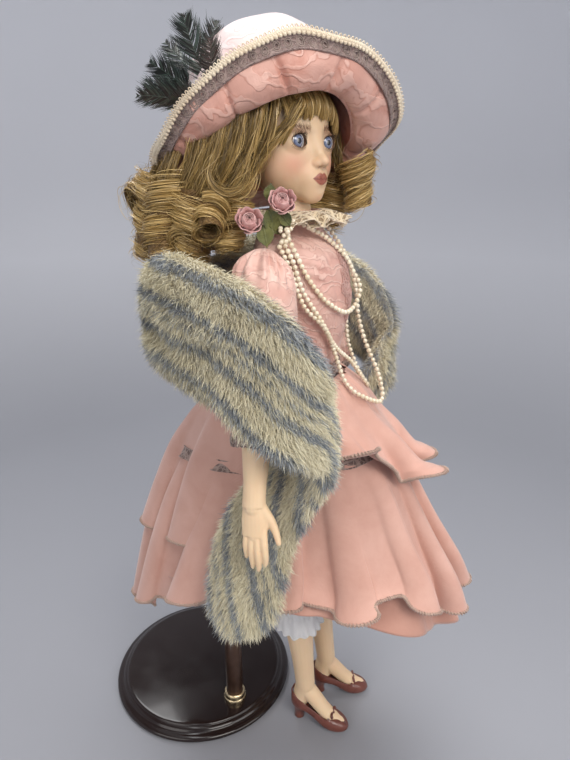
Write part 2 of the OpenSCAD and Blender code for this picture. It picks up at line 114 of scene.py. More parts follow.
def piece(name, geo, mats, body=None, stands_for=(), smooth=True):
    """Makes the object, gives it its materials, and ties it to its CAD body."""
    me = geo.mesh(name, smooth, mats if isinstance(mats, (list, tuple)) else [mats])
    o = bpy.data.objects.new(name, me)
    bpy.context.scene.collection.objects.link(o)
    if body:
        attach(o, body)
    if stands_for:
        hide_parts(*stands_for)
    return o


def paint(o, name, values):
    """Stores one number for each vertex, which the material reads."""
    a = o.data.attributes.new(name, "FLOAT", "POINT")
    a.data.foreach_set("value", np.asarray(values, np.float32))


def place(m, v):
    """Points carried by a matrix."""
    m = np.array(m)
    return np.asarray(v, float) @ m[:3, :3].T + m[:3, 3]


def carried(m, shape):
    """A (points, faces) pair with its points carried by a matrix."""
    return place(m, shape[0]), shape[1]


def unit(v):
    return v / np.maximum(np.linalg.norm(v, axis=-1, keepdims=True), 1e-9)


def spline(p, t):
    """Smooth curve through rows of numbers, at each t from 0 to len(p) - 1."""
    p, t = np.asarray(p, float), np.asarray(t, float)
    i = np.minimum(np.floor(t).astype(int), len(p) - 2)
    u = (t - i)[:, None]
    a, b, c, d = p[np.maximum(i - 1, 0)], p[i], p[i + 1], p[np.minimum(i + 2, len(p) - 1)]
    return 0.5 * (2 * b + (c - a) * u + (2 * a - 5 * b + 4 * c - d) * u**2 + (3 * b - a - 3 * c + d) * u**3)


def smooth_path(p, n):
    return spline(p, np.linspace(0, len(p) - 1, n))


def even_path(p, n):
    """n points spaced evenly along a smooth curve."""
    q = smooth_path(p, max(8 * len(p), 4 * n))
    s = np.concatenate([[0], np.cumsum(np.linalg.norm(np.diff(q, axis=0), axis=1))])
    at = np.linspace(0, s[-1], n)
    return np.stack([np.interp(at, s, q[:, k]) for k in range(q.shape[1])], 1)


def frames(path, closed=False):
    """Tangent and two steady side directions along a path."""
    if closed:
        t = unit(np.roll(path, -1, 0) - np.roll(path, 1, 0))
    else:
        t = unit(np.gradient(path, axis=0))
    first = np.array([0, 0, 1.0]) if abs(t[0][2]) < 0.9 else np.array([1.0, 0, 0])
    n = np.zeros_like(t)
    n[0] = unit(first - first @ t[0] * t[0])
    for k in range(1, len(t)):
        n[k] = unit(n[k - 1] - n[k - 1] @ t[k] * t[k])
    return t, n, np.cross(t, n)


def tube(path, r, sides=8, closed=False, caps=True):
    """Round tube along a path. r is one radius or one for each point."""
    path = np.asarray(path, float)
    _, n, b = frames(path, closed)
    r = np.broadcast_to(np.asarray(r, float), (len(path),))
    a = np.arange(sides) * TAU / sides
    ring = n[:, None] * np.cos(a)[None, :, None] + b[:, None] * np.sin(a)[None, :, None]
    v = path[:, None] + ring * r[:, None, None]
    f = [quads(len(path), sides, closed, True)]
    if caps and not closed:
        f += [np.arange(sides)[None, ::-1], (np.arange(sides) + (len(path) - 1) * sides)[None]]
    return v.reshape(-1, 3), f


def lathe(profile, n=96, closed=True, centre=(0, 0, 0)):
    """Turned shape from [radius, height] pairs, with a closed profile unless told otherwise."""
    p = np.asarray(profile, float)
    a = np.arange(n) * TAU / n
    v = np.stack([np.outer(np.cos(a), p[:, 0]), np.outer(np.sin(a), p[:, 0]), np.tile(p[:, 1], (n, 1))], -1)
    return v.reshape(-1, 3) + np.array(centre, float), quads(n, len(p), True, closed)


def rounded(profile, r=0.4, steps=3):
    """Rounds the corners of a closed profile."""
    p = np.asarray(profile, float)
    out = []
    for k in range(len(p)):
        a, b, c = p[k - 1], p[k], p[(k + 1) % len(p)]
        if b[0] < 1e-6:
            out.append(b)
            continue
        la, lc = np.linalg.norm(a - b), np.linalg.norm(c - b)
        p0 = b + (a - b) / la * min(r, la * 0.45)
        p1 = b + (c - b) / lc * min(r, lc * 0.45)
        for t in np.linspace(0, 1, steps + 1):
            out.append((1 - t) ** 2 * p0 + 2 * t * (1 - t) * b + t**2 * p1)
    return np.array(out)


def ribbons(p, width, side):
    """Flat tapering hairs: paths (hairs, points, 3), a width per point, a sideways direction per hair."""
    s, k = p.shape[:2]
    side = side[:, None] if side.ndim == 2 else side
    half = side * np.broadcast_to(width, (s, k))[..., None] / 2
    v = np.stack([p - half, p + half], 2).reshape(-1, 3)
    a = (np.arange(s)[:, None] * k + np.arange(k - 1)[None]) * 2
    return v, np.stack([a, a + 1, a + 3, a + 2], -1).reshape(-1, 4)


def scatter(v, f, count, rng, values=()):
    """Random points on a quad mesh with their normals, and the given vertex values there."""
    a, b, c, d = (v[f[:, k]] for k in range(4))
    normal = np.cross(c - a, d - b)
    area = np.linalg.norm(normal, axis=1) / 2
    pick = rng.choice(len(f), count, p=area / area.sum())
    s, t = rng.random((2, count, 1))
    mix = lambda q: ((q[f[pick, 0]] * (1 - s) + q[f[pick, 1]] * s) * (1 - t)
                     + (q[f[pick, 3]] * (1 - s) + q[f[pick, 2]] * s) * t)
    return mix(v), unit(normal[pick]), [mix(q.reshape(len(v), -1)) for q in values]


def ball(c, r, n=16, m=10):
    a, b = np.meshgrid(np.arange(n) * TAU / n, np.linspace(-math.pi / 2, math.pi / 2, m), indexing="ij")
    v = np.stack([np.cos(a) * np.cos(b), np.sin(a) * np.cos(b), np.sin(b)], -1).reshape(-1, 3)
    return v * r + np.asarray(c, float), quads(n, m, True)


def noise3(p, seed=0, octaves=3):
    """Smooth made-up noise from sums of sines, from about -1 to 1."""
    r = np.random.default_rng(1000 + seed)
    total = np.zeros(p.shape[:-1])
    for o in range(octaves):
        for _ in range(4):
            d = unit(r.normal(size=3)) * 2**o
            total += np.sin(p @ d + r.random() * TAU) / 2**o
    return total / 4


# ---------- materials ----------
class Mat:
    """Small helper for building a procedural material on one Principled shader."""

    def __init__(self, name, color, rough=0.5, **sockets):
        self.mat = bpy.data.materials.new(name)
        self.mat.use_nodes = True
        self.mat.diffuse_color = (*color, 1)
        self.nt = self.mat.node_tree
        self.bsdf = self.nt.nodes["Principled BSDF"]
        self.co = None
        self.set("Base Color", (*color, 1))
        self.set("Roughness", rough)
        for k, v in sockets.items():
            self.set(k.replace("_", " "), v)

    def set(self, socket, value):
        if isinstance(value, bpy.types.NodeSocket):
            self.nt.links.new(value, self.bsdf.inputs[socket])
        else:
            self.bsdf.inputs[socket].default_value = value

    def node(self, kind, inputs, out=0, **props):
        n = self.nt.nodes.new(kind)
        for k, v in props.items():
            setattr(n, k, v)
        for k, v in inputs.items():
            if isinstance(v, bpy.types.NodeSocket):
                self.nt.links.new(v, n.inputs[k])
            else:
                n.inputs[k].default_value = v
        return n.outputs[out]

    def coords(self):
        if self.co is None:
            self.co = self.node("ShaderNodeTexCoord", {}, "Object")
        return self.co

    def noise(self, scale, detail=3, rough=0.5, distortion=0.0):
        return self.node("ShaderNodeTexNoise", {"Vector": self.coords(), "Scale": scale, "Detail": detail,
                                                "Roughness": rough, "Distortion": distortion}, "Fac")

    def voronoi(self, scale, feature="F1"):
        return self.node("ShaderNodeTexVoronoi", {"Vector": self.coords(), "Scale": scale}, "Distance",
                         feature=feature)

    def wave(self, scale, distortion=0.0, detail=2, kind="BANDS", direction="X", dscale=1.0):
        extra = {"bands_direction": direction} if kind == "BANDS" else {"rings_direction": direction}
        return self.node("ShaderNodeTexWave", {"Vector": self.coords(), "Scale": scale,
                                               "Distortion": distortion,
                                               "Detail": detail, "Detail Scale": dscale}, "Fac",
                                               wave_type=kind, **extra)

    def math(self, op, a, b=0.5):
        return self.node("ShaderNodeMath", {0: a, 1: b}, operation=op)

    def ramp(self, fac, *stops):
        n = self.nt.nodes.new("ShaderNodeValToRGB")
        e = n.color_ramp.elements
        while len(e) < len(stops):
            e.new(0.5)
        for el, (pos, col) in zip(e, stops):
            el.position = pos
            el.color = (*col, 1) if isinstance(col, tuple) else (col, col, col, 1)
        self.nt.links.new(fac, n.inputs[0])
        return n.outputs[0]

    def mix(self, fac, a, b):
        n = self.nt.nodes.new("ShaderNodeMix")
        n.data_type = "RGBA"
        for k, v in ((0, fac), (6, a), (7, b)):
            if isinstance(v, bpy.types.NodeSocket):
                self.nt.links.new(v, n.inputs[k])
            else:
                n.inputs[k].default_value = (*v, 1) if isinstance(v, tuple) else v
        return n.outputs[2]

    def attr(self, name):
        return self.node("ShaderNodeAttribute", {}, "Fac", attribute_name=name)

    def bump(self, height, depth_mm, normal=None):
        links = {"Height": height, "Distance": depth_mm * MM, "Strength": 1.0}
        if normal is not None:
            links["Normal"] = normal
        n = self.node("ShaderNodeBump", links)
        self.set("Normal", n)
        return n


def plain(name, color, rough=0.5, **sockets):
    return Mat(name, color, rough, **sockets).mat


def brocade(name, base, light, dark, scale=1.0):
    """Satin with a woven swirl pattern: matt ground, glossy raised figures, fine threads and soft creases,
    which are painted darker as shade.
    """
    m = Mat(name, base, 0.4, Sheen_Weight=0.25, Sheen_Roughness=0.4)
    warp = m.noise(55 * scale, 2, 0.5, 0.6)
    rings = m.wave(26 * scale, 9.0, 3, "RINGS", "SPHERICAL", 2.2)
    cells = m.voronoi(95 * scale, "SMOOTH_F1")
    figure = m.ramp(m.math("ADD", m.math("MULTIPLY", rings, 0.62), m.math("MULTIPLY", cells, 0.75)),
                    (0.36, 0.0), (0.46, 1.0), (0.62, 1.0), (0.72, 0.25))
    thread = m.wave(900, 0.4, 1, "BANDS", "DIAGONAL")
    crease = m.noise(70, 5, 0.6, 0.9)
    body = m.mix(m.ramp(warp, (0.3, 0.0), (0.75, 1.0)), base, light)
    body = m.mix(m.math("MULTIPLY", figure, 0.65), body, light)
    edge = m.ramp(m.math("ABSOLUTE", m.math("SUBTRACT", figure, 0.5)), (0.0, 1.0), (0.35, 0.0))
    body = m.mix(m.math("MULTIPLY", edge, 0.55), body, dark)
    # painted shade: the creases are coloured darker
    body = m.mix(m.ramp(crease, (0.32, 0.4), (0.46, 0.0)), body, dark)
    m.set("Base Color", body)
    m.set("Roughness", m.ramp(figure, (0.0, 0.58), (1.0, 0.3)))
    n = m.bump(figure, 0.28)
    n = m.bump(crease, 0.8, n)
    m.bump(thread, 0.03, n)
    return m.mat


def weave(name, base, dark, light, thread=1400, depth=0.04, rough=0.75, blotch=45, sheen=0.4, **more):
    """Plain woven cloth with fine crossed threads and soft uneven colour."""
    m = Mat(name, base, rough, Sheen_Weight=sheen, Sheen_Roughness=0.5, **more)
    a = m.wave(thread, 0.5, 1, "BANDS", "X")
    b = m.wave(thread, 0.5, 1, "BANDS", "Z")
    c = m.wave(thread, 0.5, 1, "BANDS", "Y")
    threads = m.math("MULTIPLY", m.math("ADD", m.math("ADD", a, b), c), 0.33)
    col = m.mix(m.ramp(m.noise(blotch, 4, 0.6, 0.3), (0.3, 0.0), (0.7, 1.0)), dark, light)
    col = m.mix(0.5, col, base)
    m.set("Base Color", m.mix(m.ramp(threads, (0.2, 0.35), (0.5, 0.0)), col, dark))
    n = m.bump(m.noise(60, 4, 0.55, 0.4), 0.5)
    m.bump(threads, depth, n)
    return m.mat


def lace(name, base, dark, scale=1.0, rough=0.8, holes=0.0):
    """Knotted lace: raised cords round little cells over a fine net."""
    m = Mat(name, base, rough, Sheen_Weight=0.3)
    cell = m.voronoi(330 * scale, "DISTANCE_TO_EDGE")
    big = m.voronoi(120 * scale, "DISTANCE_TO_EDGE")
    cords = m.math("MAXIMUM", m.ramp(cell, (0.02, 1.0), (0.14, 0.0)), m.ramp(big, (0.03, 1.0), (0.1, 0.0)))
    m.set("Base Color", m.mix(cords, dark, base))
    m.bump(cords, 0.35)
    if holes:
        m.set("Alpha", m.ramp(cords, (0.0, 1 - holes), (0.35, 1.0)))
    return m.mat


def make_materials():
    M = {}
    m = Mat("bisque_skin", (0.76, 0.50, 0.36), 0.46, Subsurface_Weight=0.12, Subsurface_Scale=0.004,
            Subsurface_Radius=(1.0, 0.4, 0.25), Coat_Weight=0.05, Coat_Roughness=0.4)
    tone = m.mix(m.ramp(m.noise(40, 4), (0.3, 0.0), (0.7, 1.0)), (0.84, 0.60, 0.375), (0.88, 0.65, 0.42))
    m.set("Base Color", tone)
    m.bump(m.noise(1500, 2), 0.015)
    M["skin"] = m.mat

    m = Mat("bisque_face", (0.78, 0.53, 0.39), 0.42, Subsurface_Weight=0.12, Subsurface_Scale=0.004,
            Subsurface_Radius=(1.0, 0.4, 0.25), Coat_Weight=0.06, Coat_Roughness=0.4)
    tone = m.mix(m.ramp(m.noise(40, 4), (0.3, 0.0), (0.7, 1.0)), (0.71, 0.49, 0.31), (0.75, 0.54, 0.345))
    tone = m.mix(m.math("MULTIPLY", m.attr("blush"), 0.55), tone, (0.66, 0.24, 0.17))
    tone = m.mix(m.attr("shade"), tone, (0.20, 0.10, 0.06))
    lips = m.mix(m.ramp(m.noise(700, 2), (0.35, 0.0), (0.7, 1.0)), (0.30, 0.085, 0.055), (0.42, 0.15, 0.10))
    tone = m.mix(m.attr("lip"), tone, lips)
    tone = m.mix(m.attr("line"), tone, (0.10, 0.02, 0.015))
    m.set("Base Color", tone)
    m.set("Roughness", m.ramp(m.attr("lip"), (0.0, 0.45), (1.0, 0.27)))
    m.bump(m.noise(1500, 2), 0.012)
    M["face"] = m.mat

    m = Mat("glass_eye", (0.8, 0.8, 0.78), 0.06, Coat_Weight=1.0, Coat_Roughness=0.02,
            Specular_IOR_Level=0.7)
    r, a = m.attr("iris_r"), m.attr("iris_a")
    streak = m.node("ShaderNodeTexNoise",
                    {"Vector": m.node("ShaderNodeCombineXYZ", {"X": m.math("MULTIPLY", a, 7.0),
                    "Y": m.math("MULTIPLY", r, 1.2)}), "Scale": 3.0, "Detail": 3}, "Fac")
    iris = m.mix(m.ramp(streak, (0.3, 0.0), (0.7, 1.0)), (0.07, 0.10, 0.20), (0.27, 0.31, 0.44))
    iris = m.mix(m.ramp(r, (0.34, 0.7), (0.62, 0.0)), iris, (0.33, 0.37, 0.50))
    iris = m.mix(m.ramp(r, (0.78, 0.0), (0.97, 1.0)), iris, (0.02, 0.035, 0.09))
    col = m.mix(m.ramp(r, (0.40, 1.0), (0.44, 0.0)), iris, (0.004, 0.004, 0.006))
    col = m.mix(m.ramp(r, (0.99, 0.0), (1.06, 1.0)), col, (0.80, 0.79, 0.76))
    m.set("Base Color", col)
    M["eye"] = m.mat
    M["lash"] = plain("lash_fibre", (0.035, 0.018, 0.01), 0.6)
    M["brow"] = plain("brow_paint", (0.17, 0.085, 0.045), 0.7)

    # four copies of one blonde for painted light: pale highlight, gold, honey and shadow
    M["hair_a"] = plain("hair_gold", (0.46, 0.30, 0.10), 0.36, Anisotropic=0.5, Specular_IOR_Level=0.6)
    M["hair_b"] = plain("hair_honey", (0.34, 0.225, 0.08), 0.38, Anisotropic=0.5, Specular_IOR_Level=0.6)
    M["hair_c"] = plain("hair_shadow", (0.15, 0.098, 0.036), 0.45, Anisotropic=0.4)
    M["hair_d"] = plain("hair_pale_highlight", (0.70, 0.50, 0.21), 0.33, Anisotropic=0.5, Specular_IOR_Level=0.7)
    # darker hair colour for the wig cap, the fringe backing and the cores of the locks and curls: painted
    # shade under and inside the hair
    m = Mat("hair_shade_mass", (0.24, 0.14, 0.05), 0.5)
    m.set("Base Color", m.mix(m.ramp(m.noise(260, 4, 0.6, 1.5), (0.35, 0.0), (0.7, 1.0)),
                              (0.11, 0.06, 0.02), (0.32, 0.19, 0.07)))
    m.bump(m.wave(420, 6, 3, "BANDS", "DIAGONAL", 1.5), 0.5)
    M["hair_shade_mass"] = m.mat

    M["brocade"] = brocade("pink_brocade", (0.66, 0.36, 0.30), (0.80, 0.55, 0.47), (0.46, 0.21, 0.17))
    M["hat_satin"] = brocade("hat_satin", (0.66, 0.31, 0.24), (0.80, 0.50, 0.42), (0.50, 0.18, 0.12), 0.7)
    # crown satin: its own pale pink, made paler still as a painted highlight on the top-lit crown; also used
    # for the twisted hat band
    M["crown"] = brocade("crown_satin_painted_highlight", (0.86, 0.66, 0.64), (0.95, 0.86, 0.85), (0.70, 0.42, 0.40), 0.7)
    m = Mat("coral_satin", (0.72, 0.25, 0.18), 0.4, Sheen_Weight=0.3)
    m.set("Base Color", m.mix(m.ramp(m.noise(50, 4, 0.6, 0.5), (0.3, 0.0), (0.7, 1.0)), (0.62, 0.19, 0.13),
                              (0.82, 0.36, 0.28)))
    m.bump(m.noise(120, 5, 0.6, 1.0), 0.9)
    M["coral"] = m.mat
    M["chiffon"] = weave("peach_chiffon", (0.63, 0.365, 0.295), (0.55, 0.29, 0.225), (0.71, 0.44, 0.365),
                         1500, 0.03, 0.62,
                         Specular_IOR_Level=0.3)
    M["lining"] = weave("skirt_lining", (0.60, 0.31, 0.235), (0.52, 0.25, 0.185), (0.66, 0.37, 0.29), 1200,
                        0.02, 0.5)
    M["cotton"] = weave("white_cotton", (0.80, 0.79, 0.78), (0.66, 0.65, 0.66), (0.86, 0.86, 0.86), 1100,
                        0.04, 0.85)
    M["muslin"] = weave("muslin", (0.74, 0.66, 0.54), (0.62, 0.54, 0.43), (0.80, 0.73, 0.62), 900, 0.05,
                        0.9)
    M["overlock"] = weave("overlock_thread", (0.50, 0.34, 0.27), (0.36, 0.23, 0.18), (0.60, 0.44, 0.36),
                          2600, 0.05, 0.8)
    M["taupe_lace"] = lace("taupe_lace", (0.40, 0.29, 0.25), (0.17, 0.11, 0.095))
    M["taupe_cord"] = weave("taupe_cord", (0.40, 0.30, 0.26), (0.25, 0.17, 0.15), (0.50, 0.39, 0.34), 2600,
                            0.05, 0.8)
    M["cream_lace"] = lace("cream_lace", (0.82, 0.70, 0.50), (0.58, 0.44, 0.28), 0.9, 0.75, 0.55)
    M["cream_cord"] = weave("cream_cord", (0.84, 0.72, 0.54), (0.68, 0.52, 0.36), (0.90, 0.82, 0.66), 2400,
                            0.05, 0.75)
    M["motif"] = weave("motif_thread", (0.62, 0.36, 0.31), (0.48, 0.25, 0.21), (0.74, 0.48, 0.42), 2400,
                       0.05, 0.7)
    M["ribbon"] = lace("taupe_ribbon", (0.36, 0.26, 0.235), (0.25, 0.165, 0.15), 1.5, 0.5)
    m = Mat("pearl", (0.85, 0.75, 0.56), 0.22, Coat_Weight=0.8, Coat_Roughness=0.08, Specular_IOR_Level=0.6)
    m.set("Base Color", m.mix(m.ramp(m.noise(90, 2), (0.35, 0.0), (0.65, 1.0)), (0.80, 0.68, 0.48),
                              (0.90, 0.82, 0.65)))
    M["pearl"] = m.mat
    M["thread"] = plain("white_thread", (0.75, 0.72, 0.66), 0.7)
    m = Mat("rose_satin", (0.66, 0.36, 0.34), 0.5, Sheen_Weight=0.4)
    m.set("Base Color", m.mix(m.ramp(m.noise(160, 4, 0.6, 0.6), (0.3, 0.0), (0.7, 1.0)), (0.55, 0.26, 0.25),
                              (0.78, 0.50, 0.47)))
    m.bump(m.noise(330, 4, 0.6, 0.8), 0.35)
    M["rose"] = m.mat
    m = Mat("leaf_cloth", (0.17, 0.18, 0.05), 0.6, Sheen_Weight=0.3)
    m.set("Base Color", m.mix(m.ramp(m.noise(110, 3, 0.5, 0.4), (0.3, 0.0), (0.7, 1.0)),
                              (0.05, 0.065, 0.02), (0.20, 0.20, 0.05)))
    m.bump(m.wave(600, 2, 2, "BANDS", "DIAGONAL"), 0.1)
    M["leaf"] = m.mat

    for key, col in {"fur_cream": (0.70, 0.635, 0.45), "fur_ivory": (0.82, 0.77, 0.59),
                     "fur_tan": (0.52, 0.44, 0.28),
                     "fur_blue": (0.23, 0.255, 0.285), "fur_slate": (0.11, 0.122, 0.14),
                     "fur_silver": (0.42, 0.44, 0.44)}.items():
        M[key] = plain(key, col, 0.55, Sheen_Weight=0.3, Specular_IOR_Level=0.35)
    M["fur_skin"] = weave("fur_backing", (0.56, 0.52, 0.42), (0.45, 0.42, 0.33), (0.66, 0.62, 0.50), 700,
                          0.05, 0.9)
    M["feather"] = plain("black_feather", (0.012, 0.016, 0.015), 0.33, Specular_IOR_Level=0.7,
                         Sheen_Weight=0.2)
    M["feather_sheen"] = plain("feather_sheen", (0.055, 0.085, 0.07), 0.3, Specular_IOR_Level=0.8,
                               Coat_Weight=0.3)

    m = Mat("gloss_black", (0.018, 0.011, 0.010), 0.14, Coat_Weight=0.25, Coat_Roughness=0.06,
            Specular_IOR_Level=0.35)
    m.set("Roughness", m.ramp(m.noise(60, 4), (0.3, 0.11), (0.7, 0.2)))
    m.bump(m.noise(30, 2), 0.05)
    M["black"] = m.mat
    m = Mat("bronze_tube", (0.12, 0.065, 0.045), 0.3, Metallic=0.75, Coat_Weight=0.3)
    m.set("Base Color", m.mix(m.ramp(m.noise(90, 4), (0.3, 0.0), (0.7, 1.0)), (0.09, 0.048, 0.034),
                              (0.16, 0.09, 0.062)))
    m.bump(m.wave(1500, 1, 2, "BANDS", "Z"), 0.01)
    M["bronze"] = m.mat
    m = Mat("pale_brass", (0.72, 0.58, 0.36), 0.25, Metallic=1.0)
    m.set("Roughness", m.ramp(m.noise(200, 4), (0.3, 0.18), (0.7, 0.34)))
    m.bump(m.wave(1500, 1, 2, "BANDS", "Z"), 0.01)
    M["brass"] = m.mat
    m = Mat("bright_steel", (0.62, 0.62, 0.62), 0.25, Metallic=1.0)
    m.set("Roughness", m.ramp(m.noise(300, 3), (0.3, 0.2), (0.7, 0.35)))
    M["steel"] = m.mat
    m = Mat("clear_vinyl", (0.78, 0.78, 0.74), 0.3)
    m.bump(m.noise(400, 3), 0.03)
    M["vinyl"] = m.mat
    m = Mat("felt_pad", (0.03, 0.03, 0.03), 0.95, Sheen_Weight=0.5)
    m.bump(m.noise(1500, 4), 0.2)
    M["felt"] = m.mat
    m = Mat("shoe_gloss", (0.20, 0.055, 0.038), 0.3, Coat_Weight=0.3, Coat_Roughness=0.2)
    m.set("Base Color", m.mix(m.ramp(m.noise(130, 4, 0.6, 0.4), (0.3, 0.0), (0.7, 1.0)),
                              (0.12, 0.032, 0.022), (0.20, 0.065, 0.045)))
    m.bump(m.noise(500, 4), 0.08)
    M["shoe"] = m.mat
    m = Mat("pate_card", (0.55, 0.42, 0.28), 0.9)
    m.bump(m.noise(500, 4), 0.1)
    M["card"] = m.mat
    return M


M = make_materials()

# ---------- camera, light and floor ----------
def make_stage():
    cam = bpy.data.objects.new("camera", bpy.data.cameras.new("camera"))
    bpy.context.scene.collection.objects.link(cam)
    right, up, ahead = Vector((0.3371, -0.9415, 0)), Vector((0.3158, 0.1131,
                                                             0.9421)), Vector((0.8869, 0.3176, -0.3355))
    turn = Matrix((right, up, -ahead)).transposed()
    cam.matrix_world = Matrix.Translation((-0.3246, -0.1604, 0.4162)) @ turn.to_4x4()
    cam.data.lens = 27.05
    cam.data.sensor_width = 36
    cam.data.clip_start, cam.data.clip_end = 0.01, 20
    bpy.context.scene.camera = cam

    def area(name, at, aim, size, power, color):
        light = bpy.data.lights.new(name, "AREA")
        light.shape, light.size, light.size_y = "RECTANGLE", size[0], size[1]
        light.energy, light.color = power, color
        light.spread = math.radians(95)
        o = bpy.data.objects.new(name, light)
        bpy.context.scene.collection.objects.link(o)
        o.location = at
        o.rotation_euler = (Vector(aim) - Vector(at)).to_track_quat("-Z", "Y").to_euler()

    area("key", (-0.60, -0.62, 0.98), (0, -0.05, 0.3), (0.5, 0.5), 1.7, (1.0, 0.96, 0.90))
    area("fill", (-0.82, 0.22, 0.62), (0, 0, 0.25), (0.6, 0.6), 0.72, (1.0, 0.965, 0.92))
    area("front", (-0.25, -0.85, 0.55), (0, -0.05, 0.25), (0.5, 0.5), 0.65, (1.0, 0.965, 0.92))
    area("rim", (0.5, 0.65, 1.25), (0, 0, 0.35), (0.5, 0.4), 1.2, (1.0, 1.0, 1.0))
    area("top", (0.1, -0.2, 1.9), (0, 0, 0.3), (1.2, 1.2), 6.5, (1.0, 1.0, 1.0))
    world = bpy.data.worlds.new("studio")
    world.use_nodes = True
    world.node_tree.nodes["Background"].inputs["Color"].default_value = (0.84, 0.86, 0.90, 1)
    world.node_tree.nodes["Background"].inputs["Strength"].default_value = 0.66
    bpy.context.scene.world = world
    bpy.context.scene.view_settings.view_transform = "Standard"

    # A seamless sheet: a round floor that turns up into a wall all the way round
    m = Mat("backdrop", (0.40, 0.42, 0.47), 0.75)
    height = m.node("ShaderNodeSeparateXYZ", {"Vector": m.coords()}, "Z")
    # painted light and shade: the sheet is darkest on the floor, brightest on the wall about 0.75 m up, and
    # darker again above
    tone = m.mix(m.ramp(height, (0.0, 0.0), (0.25, 0.62), (0.75, 1.0), (0.95, 0.6), (1.15, 0.0)),
                 (0.29, 0.295, 0.325), (0.82, 0.835, 0.89))
    m.set("Base Color", m.mix(m.ramp(m.noise(2.2, 2), (0.3, 0.0), (0.7, 0.12)), tone, (0.42, 0.43, 0.46)))
    m.bump(m.noise(900, 2), 0.02)
    path = [[0, 0], [300, 0], [620, 0]]
    path += [[620 + 420 * math.sin(a), 420 - 420 * math.cos(a)] for a in np.linspace(0.1, math.pi / 2, 14)]
    path += [[1040, 900], [1040, 2200]]
    floor = piece("floor", Geo().add(*lathe(path, 128, False)), m.mat)


# ---------- stand ----------
def make_stand():
    g = Geo()
    cx, cy = 26, 42
    profile = [[0, 1], [73.8, 1], [75, 2.2], [75, 3.6], [74.3, 4.6], [73, 5.3], [71, 5.8], [69.7, 6.4],
               [69, 7.4],
               [67.6, 8.3], [66.6, 8.6], [66.2, 9.3], [65.4, 9.9], [64, 10], [40, 10.02], [0, 10.02]]
    g.add(*lathe(rounded(profile, 0.7), 160, True, (cx, cy, 0)))
    piece("stand_base_dish", g, M["black"], "base", ["stand_base"])
    g = Geo()
    g.add(*lathe(rounded([[6.75, 10], [9.1, 10], [9.25, 10.8], [9.0, 12.1], [8.4, 12.8], [8.5, 15.2],
                          [8.1, 16.3], [7.2, 17],
                          [6.75, 17]], 0.3), 72))
    piece("foot_ferrule", g, M["brass"], "base", ["foot_ring"])
    g = Geo()
    g.add(*lathe(rounded([[6.7, 10], [6.7, 188], [4.7, 188], [4.7, 10]], 0.35), 64))
    piece("lower_tube", g, M["bronze"], "base", ["stand_tube"])
    g = Geo()
    rows = []
    for z in np.linspace(173.4, 186.6, 23):
        rows.append([9.25 + (0.12 if int(z * 2) % 2 else -0.06), z])
    g.add(*lathe([[6.8, 173], [8.9, 173]] + rows + [[8.9, 187], [6.8, 187]], 72))
    piece("knurled_collar", g, M["bronze"], "base", ["lock_collar"])
    for node, mat in {"base_pad": "felt", "base_screw": "steel", "tube_plug": "brass",
                      "thumb_screw": "brass",
                      "stand_rod": "bronze", "rod_stop": "bronze", "clip_hub": "steel",
                      "waist_clip": "steel",
                      "clip_tips": "vinyl", "neck_bolt": "steel", "neck_washer": "steel",
                      "neck_nut": "brass",
                      "torso": "muslin", "shoulder_plate": "skin", "crown_pate": "card",
                      "upper_arm_right": "muslin",
                      "upper_arm_left": "muslin", "upper_leg_right": "muslin",
                      "upper_leg_left": "muslin"}.items():
        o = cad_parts[node]
        o.data.materials.clear()
        o.data.materials.append(M[mat])


# ---------- skirts ----------
def skirt_rows(levels, n, c, folds, seed, sharp=0.5, depth=1.0, wrinkle=0.5, dips=(), rows_out=90,
               phase=0.0):
    """Cloth falling in folds through [z, half width, front, back, wave, front lift, side lift] levels."""
    r = np.random.default_rng(seed)
    lv = np.array([list(q) + [0] * (7 - len(q)) for q in levels], float)
    t = np.linspace(0, len(lv) - 1, rows_out)
    lv = spline(lv, t)
    fall = np.linspace(0, 1, rows_out)[:, None]
    a = np.linspace(0, TAU, n, endpoint=False)[None]
    shift = (0.10 * np.sin(2 * a + 1.0 + phase) + 0.07 * np.sin(3 * a + 2.3 + seed)
             + 0.05 * np.sin(5 * a + 0.4))
    turn = folds * (a + shift) + phase
    strength = 1 + 0.35 * np.sin(2 * a + seed) + 0.2 * np.sin(4 * a + 1.7)
    wave = (np.cos(turn) + 0.28 * np.cos(2 * turn + 0.8)) * strength
    amount = lv[:, 4:5] * depth
    fine = 0.0
    for k in range(7):
        order = r.integers(11, 34)
        fine = fine + np.sin(order * a + r.random() * TAU + 0.8 * np.sin(3 * fall * r.random() + k)) / 7
    gather = np.exp(-((fall - 0.03) / 0.18) ** 2)
    radius = 1 + amount * wave
    rx = lv[:, 1:2] * radius + fine * wrinkle * (1.6 * gather + 0.5)
    deep = np.where(np.cos(a) > 0, lv[:, 2:3], lv[:, 3:4])
    ry = deep * radius + fine * wrinkle * (1.6 * gather + 0.5)
    skew = sharp * amount * np.sin(2 * turn + 0.5) * 0.9
    b = a + skew
    x = c[0] + np.sin(b) * rx
    y = c[1] - np.cos(b) * ry
    z = lv[:, 0:1] + lv[:, 5:6] * np.cos(a) - lv[:, 6:7] * np.cos(2 * a) + 0 * a
    for at, width, drop in dips:
        d = (a - at + math.pi) % TAU - math.pi
        z = z - drop * np.exp(-(d / width) ** 2) * fall**2
    z = z + fall**2 * 1.2 * np.sin(turn + 1.1)
    return np.stack([x, y, z], -1)


def cloth_sheet(p, thick):
    """Two-sided sheet with its rims closed, from rows of points that close on themselves."""
    k, n = p.shape[:2]
    du = np.roll(p, -1, 1) - np.roll(p, 1, 1)
    dv = np.gradient(p, axis=0)
    out = unit(np.cross(dv, du))
    centre = p.mean(axis=(0, 1))
    if ((p - centre)[..., :2] * out[..., :2]).sum() < 0:
        out = -out
    v = np.concatenate([p, (p - out * thick)[::-1]])
    return v.reshape(-1, 3), quads(2 * k, n, True, True)


